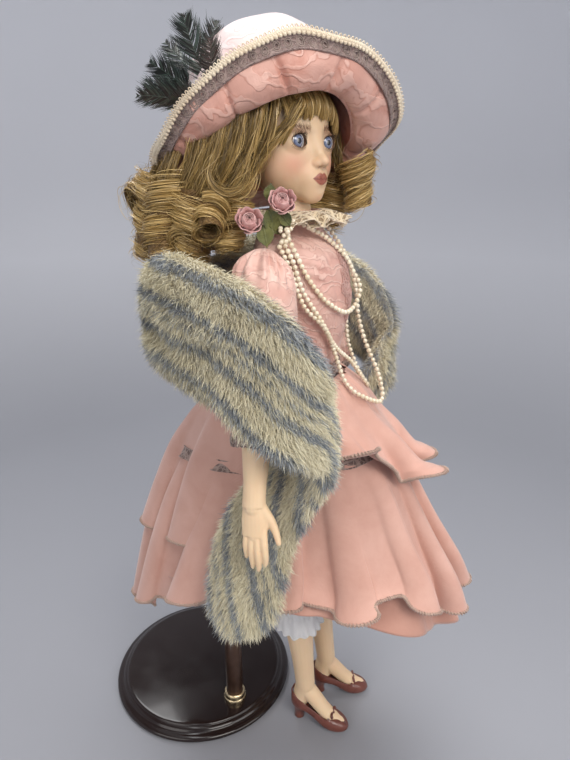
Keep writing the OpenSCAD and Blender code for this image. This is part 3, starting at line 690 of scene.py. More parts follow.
def hem_stitch(path, r, pitch, closed=True, seed=1):
    """Overlocked edge: a soft core with thread wound round it in slanting stitches."""
    length = np.linalg.norm(np.diff(path, axis=0), axis=1).sum()
    g = Geo()
    core = path[::2]
    g.add(*tube(core, r * 0.72, 6, closed))
    turns = int(length / pitch)
    per = 7
    n = turns * per
    s = np.linspace(0, len(path) - 1, n, endpoint=not closed)
    i = np.floor(s).astype(int)
    u = (s - i)[:, None]
    ring = np.vstack([path, path[:1]]) if closed else path
    j = np.minimum(i + 1, len(ring) - 1)
    base = ring[i] * (1 - u) + ring[j] * u
    _, nn, bb = frames(base, closed)
    rng = np.random.default_rng(seed)
    wob = 1 + 0.16 * np.interp(np.arange(n), np.arange(0, n + 5, 5),
                               rng.normal(size=len(np.arange(0, n + 5, 5))))
    a = np.arange(n) * TAU / per
    coil = base + (nn * np.cos(a)[:, None] + bb * np.sin(a)[:, None]) * (r * wob)[:, None]
    g.add(*tube(coil, r * 0.42, 4, closed, False))
    return g


def make_skirts():
    c = (6, -50)
    pet = skirt_rows([[297, 26.9, 27, 27], [289, 34, 34.5, 40.5], [276, 40, 45.5, 57],
                      [262, 42.5, 54.5, 66.5],
                      [235, 43, 70, 81, 0.01], [205, 46, 84, 93, 0.02], [172, 53, 99, 105, 0.03, 0, 6],
                      [150, 62, 110, 117, 0.04, 0, 14]], 260, c, 9, 3, 0.3, 1.0, 0.4, (), 60)
    o = piece("petticoat_lining", Geo().add(*cloth_sheet(pet, 0.5)), M["lining"], "doll",
              ["petticoat"])

    levels = [[300, 27.9, 28.4, 28.4], [290, 37.2, 39, 44], [276, 43.4, 50, 61], [262, 46.2, 60, 71, 0.012],
              [235, 48.5, 77, 87, 0.035], [205, 53, 92, 101, 0.06], [176, 60, 107, 113, 0.085, 8, 8],
              [151, 69, 113, 125, 0.10, 28, 22]]
    low = skirt_rows(levels, 720, c, 13, 5, 0.55, 0.85, 1.3, [(-1.12, 0.17, 10), (-2.75, 0.25, 4),
                                                              (-0.75, 0.14, -9), (-0.2, 0.2, 4)], 130, 0.9)
    o = piece("skirt_flounce", Geo().add(*cloth_sheet(low, 0.4)), M["chiffon"], "doll",
              ["skirt"])
    hem = piece("skirt_hem_stitch", hem_stitch(low[-1], 0.95, 1.25), M["overlock"], "doll")

    levels = [[300.5, 30, 31.4, 31.4], [291, 39.6, 43.6, 47.6], [276, 45.8, 56, 65, 0.012],
              [262, 49, 67, 76, 0.03, 2, -2],
              [245, 51, 78, 88, 0.05, 6, -2], [227, 54, 84, 99, 0.075, 21, -3],
              [208, 58, 87, 108, 0.095, 36, -6]]
    top = skirt_rows(levels, 720, c, 12, 8, 0.75, 0.85, 1.3, [(-0.95, 0.40, -44), (-0.42, 0.12, 9),
                                                              (-2.6, 0.3, 5), (0.12, 0.2, 12)], 110, 2.2)
    o = piece("peplum_flounce", Geo().add(*cloth_sheet(top, 0.4)), M["chiffon"], "doll",
              ["peplum"])
    hem = piece("peplum_hem_stitch", hem_stitch(top[-1], 0.9, 1.25, True, 2), M["overlock"], "doll")

    # lace band at the hip, where the lower flounce is set on
    band = skirt_rows([[254.5, 47.9, 58.7, 83.2, 0.016, 11], [250.5, 48.5, 61.6, 85.5, 0.02, 11],
                       [246.5, 49, 64.2, 87.9, 0.024, 11]], 720, c, 13, 5, 0.55, 0.85, 0.3, (), 8, 0.9)
    g = Geo().add(*cloth_sheet(band, 0.5))
    for row in (band[0], band[-1]):
        g.add(*tube(row, 0.55, 5, True))
    piece("hip_lace_band", g, M["taupe_lace"], "doll")
    waist = skirt_rows([[309, 28.9, 29.6, 25.8], [305, 28.8, 29.4, 26.2], [301.2, 28.7, 29.4, 26.6]], 300,
                       (4, -48), 9, 6,
                       0.2, 1.0, 0.5, (), 8)
    g = Geo().add(*cloth_sheet(waist, 0.5))
    for row in (waist[0], waist[-1]):
        g.add(*tube(row, 0.5, 5, True))
    piece("waist_lace_band", g, M["taupe_lace"], "doll", ["waist_lace"])


# ---------- bodice, collar, roses, pearls ----------
def make_bodice():
    lv = np.array([[390.3, 17.6, 16.2, 19.7], [385.5, 19.8, 18.8, 20.6], [380.5, 27.3, 24, 21.9],
                   [373, 32.8, 29.6, 22.5],
                   [358, 34.4, 33.8, 23.4], [345, 34.4, 34.6, 23.9], [325, 30.4, 31.6, 22.4],
                   [311, 27.4, 28.6, 23.4],
                   [302.3, 27.1, 27.6, 24.4]])
    lv = spline(lv, np.linspace(0, len(lv) - 1, 130))
    a = np.linspace(0, TAU, 300, endpoint=False)[None]
    deep = np.where(np.cos(a) > 0, lv[:, 2:3], lv[:, 3:4])
    x = np.sin(a) * lv[:, 1:2]
    y = -np.cos(a) * deep
    z = np.broadcast_to(lv[:, 0:1], x.shape)
    p = np.stack([x, y, z], -1)
    out = unit(np.stack([x / lv[:, 1:2] ** 2, y / deep**2, 0 * x], -1))
    # soft creases: gathers at the waist, pulls towards the arms, princess seams at the front
    low = np.exp(-((z - 303) / 13) ** 2)
    crease = (0.55 * low * np.sin(26 * a + 1.5 * np.sin(5 * a)) + 0.5 * noise3(p / 9.0, 1)
              + 0.35 * noise3(p / 4.2, 2))
    pull = 0.5 * np.exp(-((np.abs(x) - 24) / 7) ** 2) * np.exp(-((z - 366) / 16) ** 2) * np.sin(z * 0.9
                                                                                                + x * 0.5)
    seam = 0.0
    for s in (-1, 1):
        seam = seam - 0.8 * np.exp(-((x - s * (11 + (z - 300) * 0.06)) / 0.7) ** 2) * (np.cos(a) > 0)
    seam = seam - 0.7 * np.exp(-((x - 0.0) / 0.6) ** 2) * (np.cos(a) < 0)
    p = p + out * (crease + pull + seam)[..., None] * 0.8
    p[..., 0] += 4
    p[..., 1] += -48
    piece("bodice_cloth", Geo().add(*cloth_sheet(p, 0.7)), M["brocade"], "doll", ["bodice"])

    # raised lace motif down the front
    g = Geo()
    body = BVHTree.FromPolygons([tuple(q) for q in p.reshape(-1, 3)],
                                quads(*p.shape[:2], False, True).tolist())

    def on_bodice(x, z, lift=0.5):
        hit, *_ = body.ray_cast(Vector((x, -200, z)), Vector((0, 1, 0)))
        return [x, (hit.y if hit else -80) - lift, z]

    for cx, cz, rad in [(3, 372, 5), (3, 362, 6.5), (4, 350, 6), (5, 339, 5), (8, 366, 4), (-2, 355, 4),
                        (9, 345, 4.5)]:
        for ring in (1.0, 0.62, 0.3):
            loop = []
            for t in np.linspace(0, TAU, 40, endpoint=False):
                q = rad * ring * (1 + 0.13 * math.cos(6 * t + cx))
                loop.append(on_bodice(cx + q * math.cos(t), cz + q * math.sin(t)))
            g.add(*tube(np.array(loop), 0.32, 5, True))
        for t in np.linspace(0, TAU, 12, endpoint=False):
            ray = [on_bodice(cx + rad * s * math.cos(t), cz + rad * s * math.sin(t))
                   for s in np.linspace(0.3, 1, 5)]
            g.add(*tube(np.array(ray), 0.22, 4))
    piece("bodice_lace_motif", g, M["motif"], "doll")

    # standing collar
    g = Geo()
    rows = []
    for z, r0 in [(390.2, 17.1), (392, 17.3), (395, 17.0), (397.6, 17.2), (398.4, 17.0)]:
        t = np.linspace(0, TAU, 160, endpoint=False)
        q = r0 + 0.25 * np.sin(19 * t) + 0.15 * np.sin(31 * t + 1)
        rows.append(np.stack([4 + q * np.sin(t), -46 - q * np.cos(t), z + 0 * t], -1))
    g.add(*cloth_sheet(np.array(rows), 0.8))
    piece("standing_collar", g, M["brocade"], "doll", ["collar_band"])

    # lace ruffle: two gathered layers with scalloped corded edges
    for k, (name, grow, dz, seed) in enumerate([("lace_ruffle_upper", 1.0, 0.0, 2),
                                                ("lace_ruffle_lower", 0.86, -2.2, 5)]):
        t = np.linspace(0, TAU, 420, endpoint=False)[None]
        s = np.linspace(0, 1, 16)[:, None]
        wave = np.sin(11 * t + 1.2 * np.sin(3 * t + seed)) + 0.4 * np.sin(23 * t + seed)
        front = np.clip(np.cos(t), 0, 1)
        reach = (3.5 + 12.5 * front**0.7 + 4.0 * (1 - front)) * grow
        reach = reach * (1 + 0.06 * np.abs(np.sin(30 * t)))
        q = 17.7 + s * reach + 0.5 * s * wave
        tt = t + 0.05 * s * np.cos(11 * t + seed)
        z = 398.3 + dz - 1.0 * s - s**2 * (4.0 * grow + 1.5 * (1 - front)) + 1.9 * s * wave
        p = np.stack([4 + q * np.sin(tt), -46 - q * np.cos(tt), z + 0 * t], -1)
        v, f = p.reshape(-1, 3), quads(16, 420, False, True)
        o = piece(name, Geo().add(v, f), M["cream_lace"], "doll", ["collar_ruffle"] if k == 0
                  else ())
        g = Geo()
        edge = p[-1]
        g.add(*tube(edge, 0.38, 5, True))
        for i in range(0, 420, 7):
            out = unit(edge[i] - np.array([4, -46, edge[i][2]]))
            mid = edge[(i + 3) % 420] + out * 1.5
            g.add(*tube(smooth_path([edge[i], mid, edge[(i + 6) % 420]], 7), 0.24, 4))
        g.add(*tube(p[9], 0.22, 4, True))
        g.add(*tube(p[5], 0.22, 4, True))
        e = piece(name + "_edge", g, M["cream_cord"], "doll")


def make_roses():
    g = Geo()
    for x, y, z, r in [(-36, -37, 394, 6.9), (-32, -54, 404, 6.7)]:
        rng = np.random.default_rng(int(abs(x)))
        axis = unit(np.array([-0.75, -0.35, 0.35]) if x < -30 else np.array([-0.35, -0.7, 0.35]))
        e1 = unit(np.cross(axis, [0, 0, 1.0]))
        e2 = np.cross(axis, e1)
        c = np.array([x, y, z], float)

        def put(u, v, w):
            return c + u[..., None] * e1 + v[..., None] * e2 + w[..., None] * axis

        # rolled ribbon heart, then wrapped petals
        t = np.linspace(0, 3.4 * TAU, 150)[None]
        s = np.linspace(0, 1, 9)[:, None]
        rad = 0.5 + t / (3.4 * TAU) * r * 0.52
        bulge = np.sin(s * math.pi * 0.8 + 0.3)
        q = rad * (0.55 + 0.55 * bulge)
        g.add(put(q * np.cos(t), q * np.sin(t), (s - 0.45) * r * 1.35 + 0.35 * np.sin(5 * t) * s),
              quads(9, 150))
        for k in range(7):
            a0 = k * TAU * 0.382 + rng.random() * 0.3
            open_ = 0.56 + 0.045 * k
            u = np.linspace(-1, 1, 26)[None]
            v = np.linspace(0, 1, 18)[:, None]
            ang = a0 + u * (0.95 - 0.25 * v**3)
            shape = np.sqrt(np.clip(1 - (np.abs(u) ** 3) * v**2 * 0.5, 0, 1))
            q = r * open_ * (0.35 + 0.85 * np.sin(v * 1.9 + 0.15)) * (1 + 0.05 * np.sin(6 * u + k))
            lip = np.where(v > 0.8, (v - 0.8) * r * 0.9, 0)
            w = r * (-0.72 + 1.35 * v * shape) - lip * 0.4
            g.add(put((q + lip) * np.cos(ang), (q + lip) * np.sin(ang), w + 0 * u), quads(18, 26))
    o = piece("ribbon_rosebuds", g, M["rose"], "doll", ["rosebuds"])
    o.modifiers.new("thick", "SOLIDIFY").thickness = 0.35 * MM

    g = Geo()
    for (x, y, z), d, tilt, size in [((-33, -46, 400), (0.1, -0.35, -0.9), 0.2, 13),
                                     ((-31, -48, 396), (0.2, -0.5, -0.85), 0.5, 11),
                                     ((-35, -44, 392), (-0.2, -0.3, -0.9), 0.1, 12),
                                     ((-31, -46, 404), (0.0, -0.2, 0.95), 0.3, 9),
                                     ((-30, -52, 398), (0.25, -0.6, -0.75), 0.1, 9)]:
        d = unit(np.array(d, float))
        side = unit(np.cross(d, [-0.8, -0.5, 0.2]))
        up = np.cross(side, d)
        s = np.linspace(0, 1, 24)[:, None]
        u = np.linspace(-1, 1, 17)[None]
        w = size * 0.36 * np.sin(np.clip(s * 1.06, 0, 1) * math.pi) ** 0.75
        w = w * (1 + 0.16 * np.abs(np.sin(9 * math.pi * s)))
        bend = (tilt * size * s**2 - 0.18 * size * np.abs(u) ** 1.5 * np.sin(s * math.pi)
                + 0.25 * np.sin(14 * s))
        p = (np.array([x, y, z], float) + d * (s * size)[..., None] + side * (u * w)[..., None]
             + up * (-bend)[..., None])
        g.add(p, quads(24, 17))
        g.add(*tube(p[:, 8] + up * 0.2, np.linspace(0.45, 0.12, 24), 5))
    o = piece("rose_foliage", g, M["leaf"], "doll", ["rose_leaves"])
    o.modifiers.new("thick", "SOLIDIFY").thickness = 0.3 * MM


# Routes of the pearl strings, in mm. A projection through the fitted camera gave most of the
# points, which were then rounded. The stretches it missed were filled in.
SHORT_LOOP = [[-26, -53, 388], [-27, -59, 379], [-26.5, -64, 369], [-25.5, -68, 362], [-21, -74.5, 352],
              [-15, -80, 346],
              [-6, -84, 342], [4, -86.5, 344], [10, -88, 351], [11, -87, 357], [9, -84, 363], [5, -81, 371],
              [0, -76, 378],
              [-6, -71, 384], [-12, -66, 388], [-18, -60, 392], [-24, -53, 394]]
LONG_LOOP = [[-28, -52, 385], [-29, -59, 373], [-30, -64, 360], [-27.5, -68, 351], [-24, -73, 342],
             [-18, -76.5, 332],
             [-10, -79, 318], [-6, -84, 301], [-9, -91, 295], [-6, -96.5, 291], [-1, -101, 287.5],
             [5, -104.5, 285], [9, -105.5, 286.5],
             [11, -104.5, 292], [12, -101, 302], [13, -96.5, 311], [14, -92, 320], [15, -88.5, 329],
             [16, -86, 338],
             [18, -84.5, 348], [20, -80, 364], [20, -72, 378], [17, -65, 388]]
MID_LOOP = [[-30, -51, 382], [-31, -58, 369], [-31, -63, 356], [-29, -67, 347], [-22, -74.5, 337],
            [-14, -78, 326], [-7, -79.5, 320],
            [0, -81, 315], [6, -84, 310], [11, -87, 304], [15, -90, 297.5], [19, -93.5, 290.5],
            [24, -92, 289], [30, -85, 296],
            [33, -77, 312], [35, -74, 330], [36, -71, 350], [33, -66, 372], [25, -59, 387]]
PEARL_R, PEARL_PITCH = 1.5, 3.15


def make_pearls():
    rng = np.random.default_rng(21)
    for name, loops, node in [("pearls_short_string", [SHORT_LOOP], "pearls_short"),
                              ("pearls_long_string", [LONG_LOOP, MID_LOOP], "pearls_long")]:
        g = Geo()
        for path in loops:
            line = smooth_path(path, 300)
            count = int(np.linalg.norm(np.diff(line, axis=0), axis=1).sum() / PEARL_PITCH)
            for q in even_path(line, 2 * count + 1)[1::2]:
                g.add(*ball(q, PEARL_R * rng.uniform(0.94, 1.05), 18, 12), 0)
            g.add(*tube(smooth_path(path, 160), 0.28, 5), 1)
        piece(name, g, [M["pearl"], M["thread"]], "doll", [node])
    # small cluster of beads where the strings are sewn on at the shoulder
    g = Geo()
    for k in range(13):
        q = (np.array([-28, -54, 386]) + rng.uniform(-1, 1, 3) * np.array([3.0, 2.5, 5.0])
             + np.array([0, -0.2 * k / 13, 0]))
        g.add(*ball(q, PEARL_R * rng.uniform(0.8, 1.05), 16, 10))
    piece("pearl_cluster", g, M["pearl"], "doll")


# ---------- fur stole ----------
# Stations of the stole's middle line, from the nape round her right arm to the tail's tip: x, y, z,
# the direction of its width, then its thickness and its width as shares of the usual ones
STOLE = [[4, 12, 343, 0, 0, 1, 1, 0.95], [-38, 15, 344, 0, 0, 1, 1, 1], [-66, 2, 348, 0, 0, 1, 1.1, 1.25],
         [-84, -22, 348, 0, 0, 1, 1.15, 1.4], [-91, -53, 338, 0, 0, 1, 1.15, 1.3],
         [-85, -80, 310, 0.2, 0, 1, 0.9, 1],
         [-66, -88, 288, 0.7, 0.2, 0.7, 0.8, 0.75], [-57, -75, 262, 0.5, 0.9, 0.3, 0.75, 0.75],
         [-58.5, -58, 238, 0, 1, 0.2, 0.85, 0.85], [-67, -48, 212, 0, 1, 0, 0.9, 0.95],
         [-79, -46, 184, 0, 1, 0, 0.9, 0.9], [-86, -46, 166, 0, 1, 0, 0.45, 0.5]]
# Length of stole before the station where each part starts
RUN_BEFORE = {0: 0, 2.5: 80, 5.6: 205}
FUR = ["fur_cream", "fur_ivory", "fur_tan", "fur_blue", "fur_slate", "fur_silver", "fur_skin"]


def stole_surface(side, first, last, n_s=150, n_a=56):
    """Skin of half the stole from station first to last: points, run along it, and place across it."""
    st = np.array(STOLE, float)
    if side > 0:
        st[:, 0] = 8 - st[:, 0]
        st[:, 3] = -st[:, 3]
        st[3:7, 1:3] -= [[4, 8], [7, 14], [7, 14], [4, 8]]
    q = spline(st, np.linspace(first, last, n_s))
    pos = q[:, :3]
    d = unit(np.gradient(pos, axis=0))
    w = unit(q[:, 3:6] - (q[:, 3:6] * d).sum(1)[:, None] * d)
    h = np.cross(d, w) * -side
    a = np.linspace(0, TAU, n_a, endpoint=False)[None]
    ht, wt = q[:, 6:7] * 6.0, q[:, 7:8] * 22.5
    if last >= 11:
        k = np.linspace(0, 1, n_s)[:, None]
        close = np.sqrt(np.clip(1 - np.clip((k - 0.86) / 0.14, 0, 1) ** 2, 0.02, 1))
        ht, wt = ht * close, wt * close
    lump = 1 + 0.10 * np.sin(np.linspace(0, 9, n_s))[:, None] * np.cos(2 * a)
    p = (pos[:, None] + h[:, None] * (ht * lump * np.cos(a))[..., None]
         + w[:, None] * (wt * np.sin(a))[..., None])
    run = np.concatenate([[0], np.cumsum(np.linalg.norm(np.diff(pos, axis=0), axis=1))])
    along = np.broadcast_to(run[:, None], (n_s, n_a))
    across = (q[:, 7:8] * 27) * np.sin(a)
    centre = np.broadcast_to(pos[:, None], p.shape)
    flow = np.broadcast_to(d[:, None], p.shape)
    return p, along, across, centre, flow


def fur_shade(along, across, at, start):
    """How blue the fur is there, from 0 cream to 1 slate: slanting stripes that wander a little."""
    warp = 1.3 * noise3(at / 26.0, 11) + 0.4 * noise3(at / 9.0, 12)
    u = across + np.where(along + start < 205, 0.06, 0.45) * (along + start - 205) + warp
    phase = (u / 18.0) % 1.0
    stripe = np.exp(-((phase - 0.5) / 0.19) ** 2)
    thin = 0.8 * np.exp(-(((u / 36.0) % 1.0 - 0.02) / 0.045) ** 2)
    return np.clip(stripe + thin + 0.08 * noise3(at / 5.0, 13), 0, 1)


def make_fur():
    parts = [("stole_back_right", -1, 0, 2.5, "fur_stole", 23000), ("stole_wrap_right", -1, 2.5, 5.6, None,
                                                                    48000),
             ("stole_tail_right", -1, 5.6, 11, None, 44000), ("stole_back_left", 1, 0, 2.5, None, 22000),
             ("stole_wrap_left", 1, 2.5, 5.6, None, 32000), ("stole_tail_left", 1, 5.6, 11, None, 28000)]
    share = 1.0
    for k, (name, side, a, b, node, count) in enumerate(parts):
        rng = np.random.default_rng(300 + k)
        p, along, across, centre, flow = stole_surface(side, a, b)
        f = quads(*p.shape[:2], False, True)
        v = p.reshape(-1, 3)
        out = unit(v - centre.reshape(-1, 3))
        face_n = np.cross(v[f[:, 2]] - v[f[:, 0]], v[f[:, 3]] - v[f[:, 1]])
        if (face_n * out[f[:, 0]]).sum() < 0:
            f = f[:, ::-1]
        g = Geo().add(v, f, 6)
        start = RUN_BEFORE[a]
        n = int(count * share)
        at, normal, (al, ac, fl) = scatter(v, f, n, rng, (along, across, flow))
        blue = fur_shade(al[:, 0], ac[:, 0], at, start)
        tuft = noise3(at / 3.1, 31, 2)
        length = 7.6 * (1 + 0.20 * tuft + 0.14 * rng.normal(size=n))
        length = np.clip(length, 3.5, 11)
        clump = unit(np.stack([noise3(at / 4.2, 41), noise3(at / 4.2, 42), noise3(at / 4.2, 43)], -1))
        lay = unit(fl * 0.55 + np.array([0, 0, -0.6]) + 0.32 * clump + 0.30 * rng.normal(size=(n, 3)))
        t = np.array([0, 0.3, 0.65, 1.0])[None, :, None]
        stand = normal + 0.28 * rng.normal(size=(n, 3))
        path = ((at - normal * 0.4)[:, None]
                + length[:, None, None] * (unit(stand)[:, None] * (t * 0.90 - 0.26 * t**2)
                                           + lay[:, None] * 0.42 * t**1.7))
        sidew = unit(np.cross(lay, normal) + 0.6 * rng.normal(size=(n, 3)))
        vv, ff = ribbons(path, np.array([0.36, 0.34, 0.24, 0.05]) * (1.0), sidew)
        roll = rng.random(n)
        light = np.where(roll < 0.46, 0, np.where(roll < 0.88, 1, 2))
        dark = np.where(roll < 0.62, 3, np.where(roll < 0.78, 4, 5))
        chosen = np.where(rng.random(n) < np.clip((blue - 0.38) / 0.3, 0, 0.96), dark, light)
        tip = chosen.copy()
        tip[(chosen == 2)] = 0
        tip[(chosen == 4)] = 3
        tip[(chosen == 3) & (roll < 0.25)] = 5
        root = np.where(chosen < 2, np.where(rng.random(n) < 0.35, 2, 0), chosen)
        mats = np.stack([root, chosen, tip], 1).ravel()
        g.add(vv, ff, mats)
        o = piece(name, g, [M[x] for x in FUR], None, [node] if node else ())
        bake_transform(o)


# ---------- hat ----------
HEAD_FRAME = Matrix.Translation((6, -37, 437)) @ Matrix.Rotation(math.radians(-22), 4, "Z")
HAT = Matrix.Translation((9, -40, 439)) @ Matrix.Rotation(math.radians(42), 4,
                                                          "Z") @ Matrix.Rotation(math.radians(35.2), 4, "Y")


# Round the hat by eighths of a turn from her right, through the front: radius and height of the
# ring where it sits on the hair, then of the brim's edge, which is turned up on her right
BRIM = [(43, -8, 63, 4), (43, -9, 59, 12), (43, -10, 64, 3), (43, -20, 71, -18), (43, -27, 73, -23),
        (43, -27, 72, -20),
        (43, -20, 72, -12), (43, -9, 70, -1)]
CROWN = HEAD_FRAME @ Matrix.Translation((0, 4, 8)) @ Matrix(((-1, 0, 0, 0),
                                                             (0, -math.cos(0.5), math.sin(0.5), 0),
                                                            (0, math.sin(0.5), math.cos(0.5), 0),
                                                            (0, 0, 0, 1)))


def brim_line(a):
    a = np.asarray(a, float) % TAU
    q = spline(BRIM[-1:] + BRIM + BRIM[:2], a.ravel() / TAU * 8 + 1).reshape(a.shape + (4,))
    return q[..., :2], q[..., 2:]


def brim_under(a, s, lift=0.0, roll=6.2):
    """Point under the brim, s from the hair (0) to the edge (1)."""
    a, s = np.broadcast_arrays(np.asarray(a, float), np.asarray(s, float))
    i, e = brim_line(a)
    d = e - i
    u = unit(d)
    plump = roll * np.sin(math.pi * np.clip(s / 0.84, 0, 1)) ** 0.75 * (1 - 0.3 * s) + lift
    rh = i + d * s[..., None] + np.stack([u[..., 1], -u[..., 0]], -1) * plump[..., None]
    wave = 0.9 * np.clip(s, 0, 1) ** 3 * (np.sin(7 * a + 0.6) + 0.6 * np.sin(11 * a + 2))
    return np.stack([np.cos(a) * rh[..., 0], np.sin(a) * rh[..., 0], rh[..., 1] + wave], -1)


def on_hat(shape):
    return carried(CROWN, shape)


def make_hat():
    n = 480
    a = np.linspace(0, TAU, n, endpoint=False)[None]
    i, e = brim_line(a[0])
    d = e - i
    u = unit(d)
    up = -np.stack([u[:, 1], -u[:, 0]], -1)

    # crown and upper brim: satin over felt, folds drawn to the band
    one = np.ones((n, 1))
    keys = [one * k for k in ([0.01, 47], [15, 46.6], [27, 44.2], [36, 38.5], [41.5, 29], [44, 17])]
    keys += [i + [1.6, 11], i + d * 0.10 + up * 4.2, i + d * 0.38 + up * 3.0, i + d * 0.72 + up * 1.8,
             e + up * 0.9, e - up * 0.2]
    q = spline(np.array(keys).reshape(12, -1), np.linspace(0, 11, 110)).reshape(110, n, 2)
    s = np.linspace(0, 1, 110)[:, None]
    band = np.exp(-((s - 0.53) / 0.10) ** 2)
    fold = 0.7 * np.sin(19 * a + 4 * s) * band + 0.4 * np.sin(31 * a + 2 * np.sin(3 * a)) * band
    fold = fold + 0.45 * np.sin(9 * a + 7 * s) * np.clip(s * 3, 0, 1) * (1 - 0.5 * s)
    wave = 0.9 * np.clip((s - 0.6) / 0.4, 0, 1) ** 2 * (np.sin(7 * a + 0.6) + 0.6 * np.sin(11 * a + 2))
    r = q[..., 0] + fold * np.clip(q[..., 0] / 20, 0, 1)
    p = np.stack([np.cos(a) * r, np.sin(a) * r, q[..., 1] + wave + 0.3 * fold], -1)
    f = quads(110, n, False, True)
    # the crown rows take the pale crown satin, partly a painted highlight
    g = Geo().add(place(CROWN, p.reshape(-1, 3)), f, np.where(np.repeat(np.arange(109), n) > 84, 1, 0))
    piece("hat_cover", g, [M["crown"], M["coral"]], "hat", ["hat_shell"])

    # twisted band round the foot of the crown
    g = Geo()
    t = np.linspace(0, TAU, 600, endpoint=False)
    ring, _ = brim_line(t)
    for k in range(3):
        tw = 26 * t + k * TAU / 3
        rr = ring[:, 0] + 3.4 + 1.3 * np.cos(tw)
        g.add(*on_hat(tube(np.stack([np.cos(t) * rr, np.sin(t) * rr, ring[:, 1] + 8.5 + 1.6 * np.sin(tw)],
                                    -1), 1.8, 8, True)))
    piece("hat_band_twist", g, M["crown"], "hat")

    # gathered brocade under the brim: a plump roll next to the hair, then drawn flat to the edge
    s = np.linspace(-0.06, 1.0, 90)[:, None]
    q = np.stack([np.cos(a) * 50 + 0 * s, np.sin(a) * 50 + 0 * s, s * 30 + 0 * a], -1)
    lift = (0.55 * noise3(q / 7.0, 5) + 0.32 * noise3(q / 3.0, 6) + 0.5 * np.sin(5 * a + 1)
            + 0.4 * np.sin(13 * a))
    for k, at in enumerate([0.35, 0.92, 1.45, 2.06, 2.8, 3.42, 4.1, 4.75, 5.42, 6.0]):
        lean = 0.14 * np.sin(3 * k + 1) * (s - 0.3)
        dd = (a - at - lean + math.pi) % TAU - math.pi
        near = np.exp(-((s - 0.35) / 0.33) ** 2)
        lift = lift - 2.6 * np.exp(-(dd / 0.028) ** 2) * near - 0.7 * np.exp(-(dd / 0.13) ** 2) * near
    lift = lift * np.clip((1 - s) / 0.15, 0, 1)
    p = brim_under(a, s, lift)
    p[s[:, 0] < 0, :, 2] += 2
    g = Geo().add(place(CROWN, p.reshape(-1, 3)), quads(90, n, False, True))
    piece("hat_brim_lining", g, M["hat_satin"], "hat", ["hat_lining"])
    # coral lining up inside the crown
    keys = [i + [0.4, 1.0], i + [-0.4, 9], one * [42, 16], one * [39.5, 28], one * [34, 37],
            one * [25.5, 42.4], one * [14, 44.8], one * [0.01, 45.4]]
    q = spline(np.array(keys).reshape(8, -1), np.linspace(0, 7, 40)).reshape(40, n, 2)
    p = np.stack([np.cos(a) * q[..., 0], np.sin(a) * q[..., 0], q[..., 1]], -1)
    piece("hat_crown_lining", Geo().add(place(CROWN, p.reshape(-1, 3)), quads(40, n, False, True)),
          M["coral"], "hat")

    # sheer taupe ribbon with rings, just inside the edge
    s = np.linspace(0.75, 0.955, 9)[:, None]
    p = brim_under(a, s,
                   0.8 + 0.35 * np.sin(46 * a + 2 * np.sin(7 * a)) * np.sin((s - 0.75) / 0.205 * math.pi))
    g = Geo().add(place(CROWN, p.reshape(-1, 3)), quads(9, n, False, True))
    for k in (0, 8):
        g.add(*on_hat(tube(p[k], 0.4, 5, True)))
    o = piece("brim_sheer_ribbon", g, M["ribbon"], "hat", ["brim_ribbon"])
    o.modifiers.new("thick", "SOLIDIFY").thickness = 0.25 * MM
    g = Geo()
    for k in range(62):
        a0 = k * TAU / 62
        for rad in (2.0, 1.2):
            t = np.linspace(0, TAU, 20, endpoint=False)
            g.add(*on_hat(tube(brim_under(a0 + np.cos(t) * rad / 64, 0.852 + np.sin(t) * rad / 27, 1.3),
                               0.28, 4, True)))
    piece("brim_ribbon_rings", g, M["taupe_cord"], "hat")

    # braided trim on the edge, with little picot loops
    g = Geo()
    t = np.linspace(0, TAU, 1700, endpoint=False)
    for k in range(3):
        tw = 110 * t + k * TAU / 3
        g.add(*on_hat(tube(brim_under(t, 1.0 + 0.033 * np.cos(tw), 0.9 * np.sin(tw)), 0.78, 6, True)))
    piece("brim_edge_braid", g, M["cream_cord"], "hat", ["brim_braid"])
    g = Geo()
    for k in range(170):
        a0 = k * TAU / 170
        g.add(*on_hat(ball(brim_under(a0, 0.975, 1.5), 0.95, 9, 6)))
        loop = np.array([brim_under(a0 - 0.018, 1.03), brim_under(a0, 1.11, -0.4),
                         brim_under(a0 + 0.018, 1.03)])
        g.add(*on_hat(tube(smooth_path(loop, 6), 0.32, 4)))
    piece("brim_edge_picots", g, M["cream_cord"], "hat")


FEATHER_SHIFT = np.array([-3.0, -6.0, -17.0])


